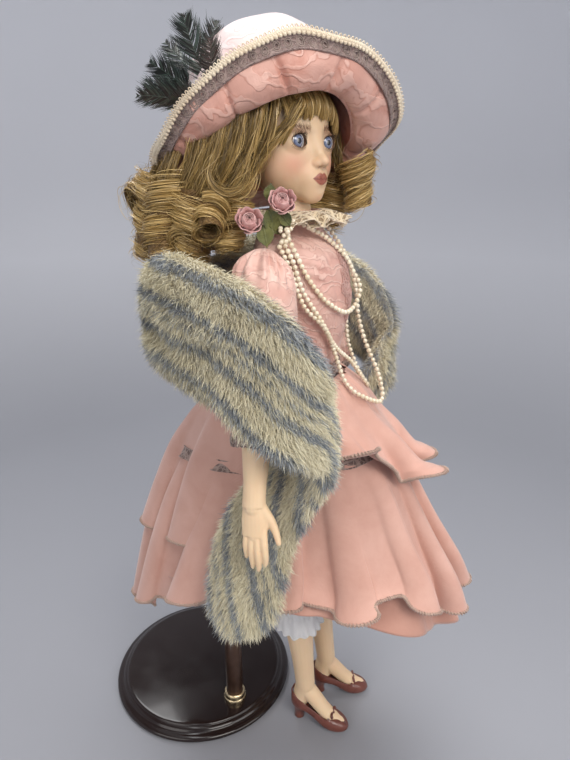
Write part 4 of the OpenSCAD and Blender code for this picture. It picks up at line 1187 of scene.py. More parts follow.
def make_feathers():
    g = Geo()
    rng = np.random.default_rng(77)

    def hat_put(v):
        return place(HAT, v) + FEATHER_SHIFT

    # hat-local base, lean from the hat's axis, heading, length, curl
    specs = [([-12, 43, 30], 18, 95, 37, 0.5), ([-4, 44, 32], 34, 75, 38, 0.6),
             ([-20, 42, 28], 48, 125, 38, -0.5),
             ([-10, 46, 26], 72, 105, 37, 0.4), ([-24, 40, 26], 80, 140, 33, -0.6),
             ([-14, 44, 28], 58, 88, 34, 0.7),
             ([-18, 43, 30], 30, 150, 32, -0.7), ([-8, 44, 30], 50, 110, 36, 0.2),
             ([-16, 44, 26], 92, 120, 30, 0.5)]
    for base, lean, head, length, curl in specs:
        th, ph, length = math.radians(lean), math.radians(head), float(length)
        d = np.array([math.sin(th) * math.cos(ph), math.sin(th) * math.sin(ph), math.cos(th)])
        side = unit(np.cross(d, [0.3, 0.2, 1.0]))
        up = np.cross(side, d)
        s = np.linspace(0, 1, 26)
        mid = (np.array(base, float) + np.outer(s * length, d)
               + np.outer(curl * length * 0.42 * s**2, side) - np.outer(0.22 * length * s**2.4, up))
        g.add(hat_put(tube(mid, np.linspace(0.42, 0.1, 26), 5)[0]), tube(mid, 0.3, 5)[1], 1)
        tan = unit(np.gradient(mid, axis=0))
        for sgn in (-1, 1):
            m = 130
            at = np.sort(rng.uniform(0.06, 1.0, m))
            k = at * 25
            i = np.minimum(k.astype(int), 24)
            c = mid[i] + (mid[i + 1] - mid[i]) * (k - i)[:, None]
            tt = tan[i]
            sd = unit(side - (tt * side).sum(1)[:, None] * tt)
            u2 = np.cross(sd, tt)
            reach = length * 0.27 * np.sin(np.clip(at * 0.92 + 0.08, 0,
                                                   1) * math.pi) ** 0.6 * rng.uniform(0.75, 1.15, m)
            split = 0.35 * rng.normal(size=m) * (rng.random(m) < 0.25)
            t = np.linspace(0, 1, 6)[None, :, None]
            path = (c[:, None] + sgn * sd[:, None] * reach[:, None, None] * t * 0.8
                    + tt[:, None] * reach[:, None, None] * (0.75 * t + (0.3 + split[:, None, None]) * t**2)
                    + u2[:, None] * (reach * rng.normal(0.10, 0.12, m))[:, None, None] * t**2)
            v, f = ribbons(path, np.array([0.75, 0.8, 0.75, 0.6, 0.4, 0.1]),
                           unit(tt + 0.15 * rng.normal(size=(m, 3))))
            g.add(hat_put(v), f, np.repeat((rng.random(m) < 0.35).astype(int), 5))
    piece("feather_spray", g, [M["feather"], M["feather_sheen"]], "hat", ["feathers"])


# ---------- arms and hands ----------
def shoulder(side):
    return (Matrix.Translation((4 + side * 44, -46, 368)) @ Matrix.Rotation(math.radians(-side * 22.7), 4,
                                                                            "Y")
            @ Matrix.Rotation(math.radians(-5.9), 4, "X"))


def fused(name, geo, mats, voxel, smooth=8, body=None, stands_for=()):
    """Joins overlapping closed shapes into one skin and smooths it."""
    o = piece(name, geo, mats)
    r = o.modifiers.new("skin", "REMESH")
    r.mode, r.voxel_size, r.use_smooth_shade = "VOXEL", voxel * MM, True
    s = o.modifiers.new("soft", "SMOOTH")
    s.factor, s.iterations = 0.5, smooth
    dg = bpy.context.evaluated_depsgraph_get()
    me = bpy.data.meshes.new_from_object(o.evaluated_get(dg))
    o.modifiers.clear()
    o.data = me
    me.materials.clear()
    for m in mats if isinstance(mats, (list, tuple)) else [mats]:
        me.materials.append(m)
    me.polygons.foreach_set("use_smooth", np.ones(len(me.polygons), bool))
    if body:
        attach(o, body)
    if stands_for:
        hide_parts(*stands_for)
    return o


def limb(g, path, radii, flat=None, sides=20, across=(1, 0, 0)):
    """Rounded finger or limb: a tube whose sections may be wider one way than the other."""
    path = even_path(np.asarray(path, float), 26)
    radii = np.interp(np.linspace(0, 1, 26), np.linspace(0, 1, len(radii)), radii)
    t = unit(np.gradient(path, axis=0))
    w = unit(np.asarray(across, float) - (t @ np.asarray(across, float))[:, None] * t)
    h = np.cross(t, w)
    k = 1.0 if flat is None else np.interp(np.linspace(0, 1, 26), np.linspace(0, 1, len(flat)), flat)
    a = np.linspace(0, TAU, sides, endpoint=False)
    v = (path[:, None] + w[:, None] * (radii[:, None] * np.cos(a))[..., None]
         + h[:, None] * ((radii * k)[:, None] * np.sin(a))[..., None])
    g.add(v, [quads(26, sides, False, True), np.arange(sides)[None, ::-1],
              (np.arange(sides) + 25 * sides)[None]])
    for i in (0, 25):
        share = 0.97 if flat is None else min(1.0, float(k[i]))
        g.add(*ball(path[i], radii[i] * share * 0.98, 14, 9))


def make_arm(side, name):
    """Bisque forearm with a relaxed open hand, hanging down its own -Z; the thumb is forwards, -Y."""
    m = shoulder(side)
    g = Geo()
    inn = -side
    limb(g, [[0, 0, -74], [0, 0, -90], [0, 0.2, -104], [0, 0.4, -119], [0, 0.4, -124]],
         [8.8, 8.5, 7.2, 5.5, 5.3], [1, 1, 1.02, 1.12, 1.2])
    # palm, broad fore and aft
    limb(g, [[0, 0.4, -118], [inn * 0.3, 0.2, -125], [inn * 0.8, 0, -133], [inn * 1.2, 0.3, -139]],
         [4.9, 4.1, 3.6, 2.9], [1.1, 1.5, 1.95, 2.3])
    limb(g, [[inn * 0.3, -3.0, -122], [inn * 1.6, -5.4, -128], [inn * 1.9, -5.0, -135]], [2.7, 3.2, 2.3])
    limb(g, [[inn * 0.2, 4.2, -124], [inn * 1.0, 4.6, -132], [inn * 1.3, 4.4, -138]], [2.4, 2.7, 2.2])
    fingers = [(-5.0, -138, [(-5.6, 1.4, -144), (-5.9, 2.9, -149.5), (-5.6, 4.6, -153.2)], 2.15, 1.45),
               (-1.8, -139.5, [(-1.9, 1.8, -146), (-1.9, 3.6, -152), (-1.6, 5.6, -156.2)], 2.2, 1.45),
               (1.5, -139.5, [(1.7, 2.0, -145.5), (1.9, 4.0, -151.2), (1.9, 6.0, -155)], 2.1, 1.4),
               (4.4, -138, [(4.9, 1.8, -142.8), (5.3, 3.4, -147), (5.3, 4.9, -149.8)], 1.85, 1.25)]
    for y0, z0, rest, r0, r1 in fingers:
        pts = [(inn * 1.0, y0 * 0.9, z0 + 7), (inn * 1.1, y0, z0)] + [(inn * x, y, z) for y, x, z in rest]
        limb(g, pts, [r0 * 0.95, r0, r0 * 0.98, r0 * 0.88, r1], sides=16)
    limb(g, [(inn * 1.0, -3.4, -124), (inn * 2.2, -8.0, -130), (inn * 2.9, -11.0, -136),
             (inn * 3.2, -12.9, -141.8)], [2.9, 2.6, 2.05, 1.45])
    body = f"{name}_arm"
    fused(f"porcelain_hand_{name}", g.moved(m), M["skin"], 0.42, 6, body, [f"forearm_{name}"])
    # fingernails: thin raised ovals
    g = Geo()
    for y0, z0, rest, r0, r1 in fingers:
        (y, x, z), (y2, x2, z2) = rest[1], rest[2]
        d = unit(np.array([inn * (x2 - x), y2 - y, z2 - z], float))
        c = np.array([inn * x2, y2, z2], float) - d * 0.1
        n = unit(np.array([-inn, 0, 0.0]) - (np.array([-inn, 0, 0.0]) @ d) * d)
        b = np.cross(d, n)
        t, s = np.meshgrid(np.linspace(0, TAU, 18, endpoint=False), np.linspace(0.02, 1, 5), indexing="ij")
        px, py = s * np.cos(t) * 1.0, s * np.sin(t) * 1.35
        v = (c + b * px[..., None] + d * (py + 0.2)[..., None]
             + n * (r1 * 0.99 + 0.16 - 0.55 * px**2 / r1 - 0.25 * np.clip(py, 0, 2) ** 2)[..., None])
        g.add(place(m, v.reshape(-1, 3)), quads(18, 5, True))
    piece(f"fingernails_{name}", g, M["skin"], body)


def make_sleeve(side, name):
    """Puffed brocade sleeve, gathered at the shoulder and the cuff, cut flat beside the bodice."""
    m = shoulder(side)
    pr = spline([[2.0, 12.5], [6.5, 11.0], [11.0, 7.2], [14.8, 1], [17.6, -9], [18.6, -24], [15.9, -42],
                 [14.2, -62],
                 [13.0, -80], [12.6, -87.5]], np.linspace(0, 9, 150))
    n = 260
    a = np.linspace(0, TAU, n, endpoint=False)[None]
    r, z = pr[:, 0:1], pr[:, 1:2]
    top = np.exp(-((z - 2) / 9) ** 2)
    low = np.exp(-((z + 86) / 14) ** 2)
    fold = (1.5 * top * np.sin(15 * a + 1.4 * np.sin(3 * a))
            + 0.9 * low * np.sin(17 * a + 1.1 * np.sin(4 * a + 1)))
    q = np.stack([np.cos(a) * r, np.sin(a) * r, z + 0 * a], -1)
    fold = fold + 1.4 * noise3(q / np.array([9.0, 9.0, 14.0]), 51 + side) + 0.6 * noise3(q / 4.0, 53)
    fold = fold + 1.1 * np.sin(z / 5.5 + 2 * np.sin(a + 1)) * np.exp(-((z + 50) / 14) ** 2)
    rr = r + fold * np.clip(r / 10, 0.2, 1)
    p = np.stack([np.cos(a) * rr, np.sin(a) * rr, z + 0 * a], -1)
    w = place(m, p.reshape(-1, 3)).reshape(p.shape)
    flat = 36.9
    over = side * (w[..., 0] - 4) - flat
    w[..., 0] = np.where(over < 0, 4 + side * (flat + over * 0.02), w[..., 0])
    piece(f"puff_sleeve_{name}", Geo().add(*cloth_sheet(w, 0.6)), M["brocade"], f"{name}_arm",
          [f"sleeve_{name}"])
    # lace cuff with corded edges
    rows = []
    for z0, r0 in [(-86.4, 13.4), (-87.6, 14.0), (-89.5, 14.1), (-91.2, 13.7), (-92.2, 13.2),
                   (-91.8, 10.2)]:
        t = np.linspace(0, TAU, 200, endpoint=False)
        rr = r0 + 0.25 * np.sin(17 * t) + 0.12 * np.sin(41 * t)
        rows.append(np.stack([np.cos(t) * rr, np.sin(t) * rr, z0 + 0.25 * np.sin(23 * t)], -1))
    p = np.array(rows)
    g = Geo().add(*cloth_sheet(p, 0.5))
    for k in (0, 4):
        g.add(*tube(p[k], 0.5, 6, True))
    piece(f"lace_cuff_{name}", g.moved(m), M["taupe_lace"], f"{name}_arm", [f"cuff_{name}"])


# ---------- legs and shoes ----------
# Each leg: x of the hip, then x, y and z of the ankle, and how far the toes turn out, in degrees
LEGS = {"right": (-8, 9, -58.5, 34, 0), "left": (22, 40, -67, 34, 22)}


def make_leg(name):
    hx, ax, ay, az, toe = LEGS[name]
    hip, ankle = np.array([hx, -46, 246.0]), np.array([ax, ay, az], float)
    d = unit(ankle - hip)
    body = f"{name}_leg"
    turn = Matrix.Translation((ax, ay, 0)) @ Matrix.Rotation(math.radians(toe), 4, "Z")
    g = Geo()
    # calf and shin along the leg's own line, fuller behind
    s = np.array([96, 110, 124, 140, 156, 172, 188, 202, 211.5])
    rad = [10.9, 11.4, 11.7, 11.3, 10.5, 9.5, 8.5, 7.9, 7.6]
    back = np.interp(s, [96, 120, 150, 180, 212], [0.2, 1.3, 1.0, 0.3, 0.2])
    pts = hip + np.outer(s, d) + np.outer(back, [0, 1, 0])
    limb(g, pts, rad)
    foot = Geo()
    limb(foot, [[0, 0.3, 36], [0, 2.6, 27], [0, 3.4, 19]], [7.5, 6.9, 6.4], [1, 1.02, 1.05])
    limb(foot, [[0, -1, 31], [0, -8, 23], [0, -16, 14], [0, -23, 8.5], [0, -30, 5.6]],
         [6.7, 6.3, 6.2, 6.2, 5.2], [1, 1.0, 0.92, 0.8, 0.7])
    g.join(foot.moved(turn))
    fused(f"porcelain_leg_{name}", g, M["skin"], 0.6, 8, body, [f"lower_leg_{name}"])

    # moulded court shoe: sections from heel to toe, open at the top, with a stacked heel
    st = np.array([  # y, half width, sole height, top height, sole half width share
        [10.8, 2.6, 15.8, 27.5, 0.75], [9.6, 5.2, 14.6, 27.0, 0.8], [7.0, 7.0, 13.9, 25.6, 0.82],
        [3, 7.7, 13.4, 22.6, 0.8],
        [-2, 7.4, 12.4, 19.0, 0.74], [-7, 7.2, 10.2, 16.2, 0.7], [-12, 7.6, 6.9, 13.6, 0.78],
        [-17, 8.2, 3.7, 11.6, 0.86],
        [-21, 8.5, 1.9, 11.8, 0.88], [-25, 8.3, 1.3, 11.0, 0.88], [-29, 7.3, 1.3, 9.4, 0.86],
        [-32.5, 5.3, 1.6, 7.4, 0.84],
        [-34.8, 2.7, 2.2, 5.2, 0.8], [-35.4, 0.8, 2.9, 4.0, 0.8]])
    q = spline(st, np.linspace(0, len(st) - 1, 90))
    vamp = -20.0
    rows = []
    u = np.linspace(-1, 1, 61)
    for y, w, zs, zt, ks in q:
        closed = y < vamp
        ang = u * (math.pi if closed else math.pi * 0.985)
        # from one topline, down the side, under the sole and up the other side
        c, sn = np.cos(ang), np.sin(ang)
        h = zt - zs
        side_x = w * np.sign(sn) * np.abs(sn) ** 0.62
        height = np.where(np.abs(ang) < math.pi / 2, (1 - c) ** 2.0 * h * 0.42, h * 0.42 + (-c) * h * 0.58)
        x = side_x * np.where(np.abs(ang) < math.pi / 2, ks + (1 - ks) * (1 - c) ** 0.7, 1.0)
        if not closed:
            x = np.where(np.abs(ang) > math.pi / 2, w * np.sign(sn) * (1 - 0.16 * (-c) ** 2), x)
        else:
            blend = np.clip((vamp - y) / 3.0, 0, 1)
            open_x = w * np.sign(sn) * (1 - 0.16 * c**2)
            x = np.where(np.abs(ang) > math.pi / 2,
                         x * blend + open_x * (1
                                               - blend) * np.sqrt(np.clip(1
                                                                          - (np.clip(-c, 0,
                                                                                     1) * blend) ** 2, 0,
                                                                                     1)), x)
        rows.append(np.stack([x, np.full_like(x, y), zs + height], -1))
    rows = np.array(rows)
    g = Geo().add(place(turn, rows.reshape(-1, 3)), quads(90, 61))
    o = piece(f"court_shoe_{name}", g, M["shoe"], body)
    mod = o.modifiers.new("thick", "SOLIDIFY")
    mod.thickness, mod.offset = 0.7 * MM, 0
    g = Geo()
    # heel, waisted towards the top piece
    t = np.linspace(0, TAU, 40, endpoint=False)
    ring = []
    for z, r, y, fl in [(0.05, 0.2, 5.0, 1.0), (0.05, 3.6, 5.0, 1.0), (0.5, 3.9, 5.0, 1.0),
                        (1.4, 3.8, 5.0, 1.0), (5, 3.7, 5.1, 0.95), (9, 4.3, 4.9, 1.0),
                        (12.5, 5.6, 4.2, 1.0), (14.6, 6.7, 3.4, 1.0), (15.6, 6.6, 3.4, 1.0),
                        (15.8, 0.2, 3.4, 1.0)]:
        ring.append(np.stack([r * np.cos(t), y + r * 1.05 * np.sin(t) * fl, z + 0 * t], -1))
    g.add(place(turn, np.array(ring).reshape(-1, 3)), quads(len(ring), 40, False, True))
    # thin outsole welt
    edge = np.array([[r[30 + k] for r in rows] for k in (-13, 13)])
    loop = np.vstack([edge[0], edge[1][::-1]])
    loop = loop + np.array([0, 0, -0.1])
    g.add(*carried(turn, tube(loop[::2], 0.55, 6, True)))
    # topline piping
    open_rows = [r for r in rows if r[0][1] >= vamp]
    line = np.array([r[-1] for r in open_rows[::-1]] + [r[0] for r in open_rows])
    g.add(*carried(turn, tube(even_path(line[::3], 90), 0.55, 6)))
    # small rolled bow on the vamp
    for sx in (-1, 1):
        loop = smooth_path([[0, -22.6, 12.6], [sx * 2.6, -22.9, 14.4], [sx * 4.7, -23.2, 13.8],
                            [sx * 4.6, -23.6, 12.2], [sx * 2.4, -23.4, 11.9], [0, -23, 12.4]], 26)
        g.add(*carried(turn, tube(loop, 1.0, 8)))
    g.add(*carried(turn, ball((0, -22.9, 12.9), 1.7, 14, 9)))
    piece(f"court_shoe_{name}_trim", g, M["shoe"], body)

    # pantalette: soft cotton tube with a gathered frill
    side = unit(np.cross(d, [0, 1.0, 0]))
    fwd = np.cross(side, d)
    lv = spline([[6, 12.6], [20, 13.6], [60, 14.0], [100, 14.6], [128, 14.4], [131, 13.7], [134, 14.6],
                 [142, 16.2], [146, 16.6]], np.linspace(0, 8, 100))
    a = np.linspace(0, TAU, 200, endpoint=False)[None]
    s, r = lv[:, 0:1], lv[:, 1:2]
    frill = np.exp(-((s - 146) / 9) ** 2)
    rr = (r + 0.9 * frill * np.sin(14 * a + np.sin(3 * a))
          + 0.5 * np.sin(7 * a + s / 14) * np.clip(s / 60, 0, 1)
          + 0.35 * np.exp(-((s - 131) / 4) ** 2) * np.sin(24 * a))
    s2 = s + 0.8 * frill * np.sin(14 * a + 1)
    p = hip + s2[..., None] * d + (rr * np.cos(a))[..., None] * side + (rr * np.sin(a))[..., None] * fwd
    o = piece(f"pantalette_leg_{name}", Geo().add(*cloth_sheet(p, 0.5)), M["cotton"], body,
              [f"pantalette_{name}"])
    g = Geo().add(*tube(p[-1], 0.5, 5, True))
    e = piece(f"pantalette_edge_{name}", g, M["cotton"], body)


# ---------- head ----------
EYE_X, EYE_Y, EYE_Z, EYE_R = 12.6, -22.0, -3.2, 6.9


def at_head(v):
    return place(HEAD_FRAME, v)


def on_head(shape):
    return carried(HEAD_FRAME, shape)


def face_sdf(p):
    """Distance-like value of the head's porcelain, blended from rounded masses."""
    def oval(c, r):
        q = p - np.array(c, float)
        r = np.array(r, float)
        k0 = np.linalg.norm(q / r, axis=-1)
        k1 = np.linalg.norm(q / r**2, axis=-1)
        return k0 * (k0 - 1) / np.maximum(k1, 1e-9)

    def rod(a, b, ra, rb):
        a, b = np.array(a, float), np.array(b, float)
        h = np.clip(((p - a) @ (b - a)) / ((b - a) @ (b - a)), 0, 1)
        return np.linalg.norm(p - a - h[..., None] * (b - a), axis=-1) - (ra + (rb - ra) * h)

    def join(a, b, k):
        h = np.clip(0.5 + 0.5 * (b - a) / k, 0, 1)
        return b * (1 - h) + a * h - k * h * (1 - h)

    def carve(a, b, k):
        return -join(-a, b, k)

    q = p.copy()
    q[..., 0] = np.abs(q[..., 0])
    p = q
    d = oval((0, 4, 5), (29.5, 31.5, 30.5))
    d = join(d, oval((0, -8.5, -7), (23.6, 22.2, 25.5)), 6)
    d = join(d, oval((0, -9.5, 11), (21.5, 19.6, 17)), 6)
    d = join(d, oval((0, -13.0, -19.5), (17.2, 17.4, 14.0)), 5)
    d = join(d, oval((14.2, -15.5, -14), (8.8, 10.2, 11)), 6)
    d = join(d, oval((0, -26.0, -29.0), (7.6, 6.3, 6.2)), 5)
    d = join(d, oval((0, -27.6, -21.5), (9.0, 6.0, 7.0)), 4)
    d = carve(d, oval((12.9, -33.2, -2.2), (7.4, 5.3, 4.9)), 5.0)
    d = join(d, np.linalg.norm(p - np.array([EYE_X, EYE_Y, EYE_Z]), axis=-1) - (EYE_R + 0.75), 1.5)
    d = join(d, rod((0, -26.6, 1.5), (0, -32.4, -11.0), 2.7, 2.6), 4.2)
    d = join(d, oval((0, -33.9, -13.1), (3.2, 3.5, 2.9)), 2.4)
    d = join(d, oval((3.3, -31.5, -14.1), (2.0, 2.7, 2.0)), 1.5)
    d = carve(d, oval((1.9, -34.0, -16.5), (1.0, 1.3, 1.0)), 1.0)
    d = carve(d, rod((0, -35.0, -16.6), (0, -34.6, -18.8), 0.7, 0.9), 1.4)
    d = join(d, rod((1.2, -32.2, -19.9), (5.6, -29.6, -21.5), 1.55, 0.7), 1.1)
    d = join(d, rod((0, -31.6, -23.9), (4.3, -29.8, -22.9), 2.15, 1.0), 1.0)
    d = carve(d, oval((0, -35.2, -27.4), (4.4, 2.2, 1.5)), 2.2)
    return d


def make_head():
    nu, nv = 340, 250
    s = np.linspace(-1, 1, nu, endpoint=False)
    th = math.pi * (0.42 * s + 0.58 * s**3)
    ph = np.linspace(-math.pi / 2 + 0.02, math.pi / 2 - 0.02, nv)
    th, ph = np.meshgrid(th, ph, indexing="ij")
    ray = np.stack([np.sin(th) * np.cos(ph), -np.cos(th) * np.cos(ph), np.sin(ph)], -1)
    c = np.array([0, -7.0, -7.0])
    lo, hi = np.full(th.shape, 8.0), np.full(th.shape, 60.0)
    for _ in range(26):
        mid = (lo + hi) / 2
        inside = face_sdf(c + ray * mid[..., None]) < 0
        lo, hi = np.where(inside, mid, lo), np.where(inside, hi, mid)
    p = c + ray * lo[..., None]

    # eye openings: faces inside the almond go, and the cut edge is drawn onto its outline
    def almond(x, z, sx):
        u = (x * sx - EYE_X) / 5.35
        top = 3.55 * np.sqrt(np.clip(1 - np.abs(u) ** 2.3, 0, 1)) * (1 - 0.10 * u)
        low = 3.15 * np.sqrt(np.clip(1 - np.abs(u) ** 2.0, 0, 1)) * (1 + 0.10 * u)
        zz = z - EYE_Z - 0.35 * u
        inside = (np.abs(u) < 1) & (zz < top) & (zz > -low)
        return inside, u, zz, top, low

    v = p.reshape(-1, 3).copy()
    f = quads(nu, nv, True)
    front = v[:, 1] < -15
    keep = np.ones(len(f), bool)
    rims = []
    for sx in (-1, 1):
        ins, *_ = almond(v[:, 0], v[:, 2], sx)
        ins &= front
        whole = ins[f].all(1)
        keep &= ~whole
        stay = np.unique(f[keep])
        move = stay[ins[stay]]
        t = np.linspace(-math.pi, math.pi, 721)
        ux = np.cos(t)
        top = 3.55 * np.sqrt(np.clip(1 - np.abs(ux) ** 2.3, 0, 1)) * (1 - 0.10 * ux)
        low = 3.15 * np.sqrt(np.clip(1 - np.abs(ux) ** 2.0, 0, 1)) * (1 + 0.10 * ux)
        oz = np.where(np.sin(t) >= 0, top, -low) + 0.35 * ux + EYE_Z
        ox = sx * (EYE_X + 5.35 * ux)
        outline = np.stack([ox, oz], 1)
        d2 = ((v[move][:, None, [0, 2]] - outline[None]) ** 2).sum(-1)
        near = d2.argmin(1)
        v[move, 0], v[move, 2] = outline[near, 0], outline[near, 1]
        rims.append(outline)
    f = f[keep]
    g = Geo().add(at_head(v), f)
    o = piece("porcelain_head", g, M["face"], "head", ["head"])

    x, y, z = v.T
    ax = np.abs(x)
    front = y < -12
    blush = np.exp(-(((ax - 15.5) / 7.5) ** 2 + ((z + 14.5) / 6.5) ** 2)) * front
    blush += (0.35 * np.exp(-((ax / 5) ** 2 + ((z + 33) / 4) ** 2)) * front
              + 0.25 * np.exp(-((ax / 2.6) ** 2 + ((z + 13.5) / 2.2) ** 2)) * front)
    blush += 0.3 * np.exp(-(((ax - 12.6) / 6) ** 2 + ((z - 1.6) / 2.0) ** 2)) * front
    up_edge = np.interp(ax, [0, 0.9, 1.9, 3.4, 5.2, 6.3], [-19.35, -18.95, -18.75, -19.5, -20.9, -21.75])
    low_edge = np.interp(ax, [0, 1.8, 3.4, 5.0, 6.3], [-25.3, -25.0, -24.2, -23.0, -21.85])
    lip = np.clip((up_edge - z) / 0.28 + 0.5, 0, 1) * np.clip((z - low_edge) / 0.32 + 0.5, 0,
                                                              1) * (ax < 6.4) * front
    line_z = np.interp(ax, [0, 1.2, 3, 6.0], [-22.1, -21.9, -22.1, -21.8])
    line = np.exp(-((z - line_z) / 0.24) ** 2) * np.clip((6.1 - ax) / 0.8, 0, 1) * front * 0.8
    lid = 0.55 * np.exp(-(((ax - 12.6) / 6.2) ** 2 + ((z - (EYE_Z + 4.5)) / 1.3) ** 2)) * front
    rim = 0.0
    for sx, outline in zip((-1, 1), rims):
        near = front & (np.abs(x * sx - EYE_X) < 8) & (np.abs(z - EYE_Z) < 7)
        d = np.full(len(v), 9.0)
        idx = np.where(near)[0]
        d[idx] = np.sqrt(((v[idx][:, None, [0, 2]] - outline[None, ::6]) ** 2).sum(-1)).min(1)
        upper = np.clip((z - EYE_Z) / 1.5 + 0.5, 0.25, 1)
        rim = np.maximum(rim, 0.85 * np.exp(-(d / 0.42) ** 2) * upper)
    nostril = 0.75 * np.exp(-(((ax - 1.9) / 0.75) ** 2 + ((z + 15.9) / 0.6) ** 2)) * (y < -29)
    brow_wash = 0.42 * np.exp(-(((ax - 12.5) / 6.5) ** 2
                                + ((z - (3.0 - 0.012 * (ax - 11) ** 2)) / 1.5) ** 2)) * front
    paint(o, "blush", np.clip(blush, 0, 1))
    paint(o, "shade", np.clip(lid + rim + nostril + brow_wash, 0, 1))
    paint(o, "lip", np.clip(lip, 0, 1))
    paint(o, "line", np.clip(line, 0, 1))

    body = BVHTree.FromPolygons([tuple(q) for q in v], f.tolist())

    def on_face(x, z, lift=0.1):
        hit, n, _, _ = body.ray_cast(Vector((x, -80, z)), Vector((0, 1, 0)))
        if hit is None:
            return np.array([x, -28.0, z])
        n = -n if n.y > 0 else n
        return np.array([x, hit.y, z]) + np.array(n) * lift

    # lid edge: turned in to meet the glass
    g = Geo()
    for sx, outline in zip((-1, 1), rims):
        loop = outline[:-1:12]
        front_edge, inner = [], []
        for ox, oz in loop:
            dx, dz = ox - sx * EYE_X, oz - EYE_Z
            yy = EYE_Y - math.sqrt(max((EYE_R + 0.78) ** 2 - dx * dx - dz * dz, 4))
            front_edge.append([ox, yy + 0.02, oz])
            y2 = EYE_Y - math.sqrt(max((EYE_R - 0.1) ** 2 - dx * dx - dz * dz, 4))
            inner.append([sx * EYE_X + dx * 1.0, y2 + 0.25, EYE_Z + dz * 1.0])
        fe, inn = np.array(front_edge), np.array(inner)
        n = len(fe)
        g.add(at_head(np.concatenate([fe, (fe + inn) / 2, inn])), quads(3, n, False, True), 0)
        g.add(*on_head(tube(fe + [0, 0.12, 0], 0.2, 6, True)), 0)
    piece("eyelid_rims", g, M["brow"], "head")

    # lashes and painted brows
    rng = np.random.default_rng(9)
    g = Geo()
    for sx in (-1, 1):
        for k in range(58):
            u = -0.96 + 1.92 * k / 57
            zt = EYE_Z + 3.5 * math.sqrt(max(1 - abs(u) ** 2.3, 0)) * (1 - 0.1 * u) + 0.35 * u
            ox = EYE_X + 5.35 * u
            dx, dz = ox - EYE_X, zt - EYE_Z
            yy = EYE_Y - math.sqrt(max((EYE_R + 0.75) ** 2 - dx * dx - dz * dz, 4))
            ln = (2.2 + 0.9 * u + 0.3 * rng.random()) * (1.0 if abs(u) < 0.9 else 0.7)
            out = unit(np.array([0.55 * u + 0.12 + 0.1 * rng.normal(), -0.75, 0.45 + 0.15 * rng.normal()]))
            b = np.array([ox, yy, zt])
            pts = smooth_path([b, b + out * ln * 0.55 + [0, 0, -0.1], b + out * ln + [0, 0, 0.75]], 6)
            pts[:, 0] *= sx
            g.add(*on_head(tube(pts, np.linspace(0.10, 0.02, 6), 4)), 0)
        for k in range(16):
            u = -0.7 + 1.6 * k / 15
            zl = EYE_Z - 3.15 * math.sqrt(max(1 - abs(u) ** 2, 0)) * (1 + 0.1 * u) + 0.35 * u
            ox = EYE_X + 5.35 * u
            pts = np.array([on_face(sx * (ox + 0.25 * s * (u + 0.2) * 2), zl - 0.25 - 1.3 * s, 0.06)
                            for s in (0, 0.5, 1)])
            g.add(*on_head(tube(pts, [0.09, 0.07, 0.03], 4)), 0)
        for k in range(88):
            w = k / 87
            bx = 5.6 + 14.5 * w
            bz = 1.9 + 2.1 * math.sin(w * 2.2 + 0.25) - 1.3 * w + 0.5 * rng.normal()
            lean = 0.2 + 0.9 * w + 0.15 * rng.normal()
            ln = (3.3 - 1.2 * w) * rng.uniform(0.6, 1.15)
            pts = np.array([on_face(sx * (bx + ln * s * math.sin(lean)), bz + ln * s * math.cos(lean),
                                    0.04) for s in (0, 0.35, 0.7, 1)])
            g.add(*on_head(tube(pts, [0.05, 0.07, 0.05, 0.02], 4)), 1)
    piece("lashes_and_brows", g, [M["lash"], M["brow"]], "head")

    # glass eyes: a lathe about the gaze, with a domed cornea
    for sx, name in ((-1, "right"), (1, "left")):
        t = np.concatenate([np.linspace(0, 0.52, 34), np.linspace(0.56, 2.4, 30)])
        a = np.linspace(0, TAU, 72, endpoint=False)
        t, a = np.meshgrid(t, a, indexing="ij")
        gaze = unit(np.array([-0.17, -1.0, 0.02]))
        e1 = unit(np.cross(gaze, [0, 0, 1.0]))
        e2 = np.cross(e1, gaze)
        iris = 0.515
        r = EYE_R - 0.15 + 0.30 * np.clip(1 - (t / 0.5) ** 2, 0, 1)
        v = (gaze * (r * np.cos(t))[..., None] + e1 * (r * np.sin(t) * np.cos(a))[..., None]
             + e2 * (r * np.sin(t) * np.sin(a))[..., None])
        v = v.reshape(-1, 3) + np.array([sx * EYE_X, EYE_Y, EYE_Z])
        g = Geo().add(at_head(v), quads(*t.shape, False, True))
        o = piece(f"glass_eye_{name}", g, M["eye"], "head", [f"eye_{name}"])
        paint(o, "iris_r", (t / iris).ravel())
        paint(o, "iris_a", a.ravel())

    # neck column down into the collar
    n = 64
    a = np.linspace(0, TAU, n, endpoint=False)
    rows = []
    for z, r, dy in [(388.4, 12.9, 0), (389, 13.2, 0), (393, 12.7, 0), (400, 12.0, 0.2), (407, 12.0, 0.8),
                     (413, 12.8, 2.0), (419, 14.0, 4.0)]:
        rows.append(np.stack([4 + r * np.sin(a), -46 + dy - r * np.cos(a), z + 0 * a], -1))
    rows = spline(np.array(rows).reshape(7, -1), np.linspace(0, 6, 30)).reshape(30, n, 3)
    piece("porcelain_neck", Geo().add(rows, quads(30, n, False, True)), M["skin"], "head")


# ---------- hair ----------
HAIR = ["hair_a", "hair_b", "hair_c", "hair_d"]


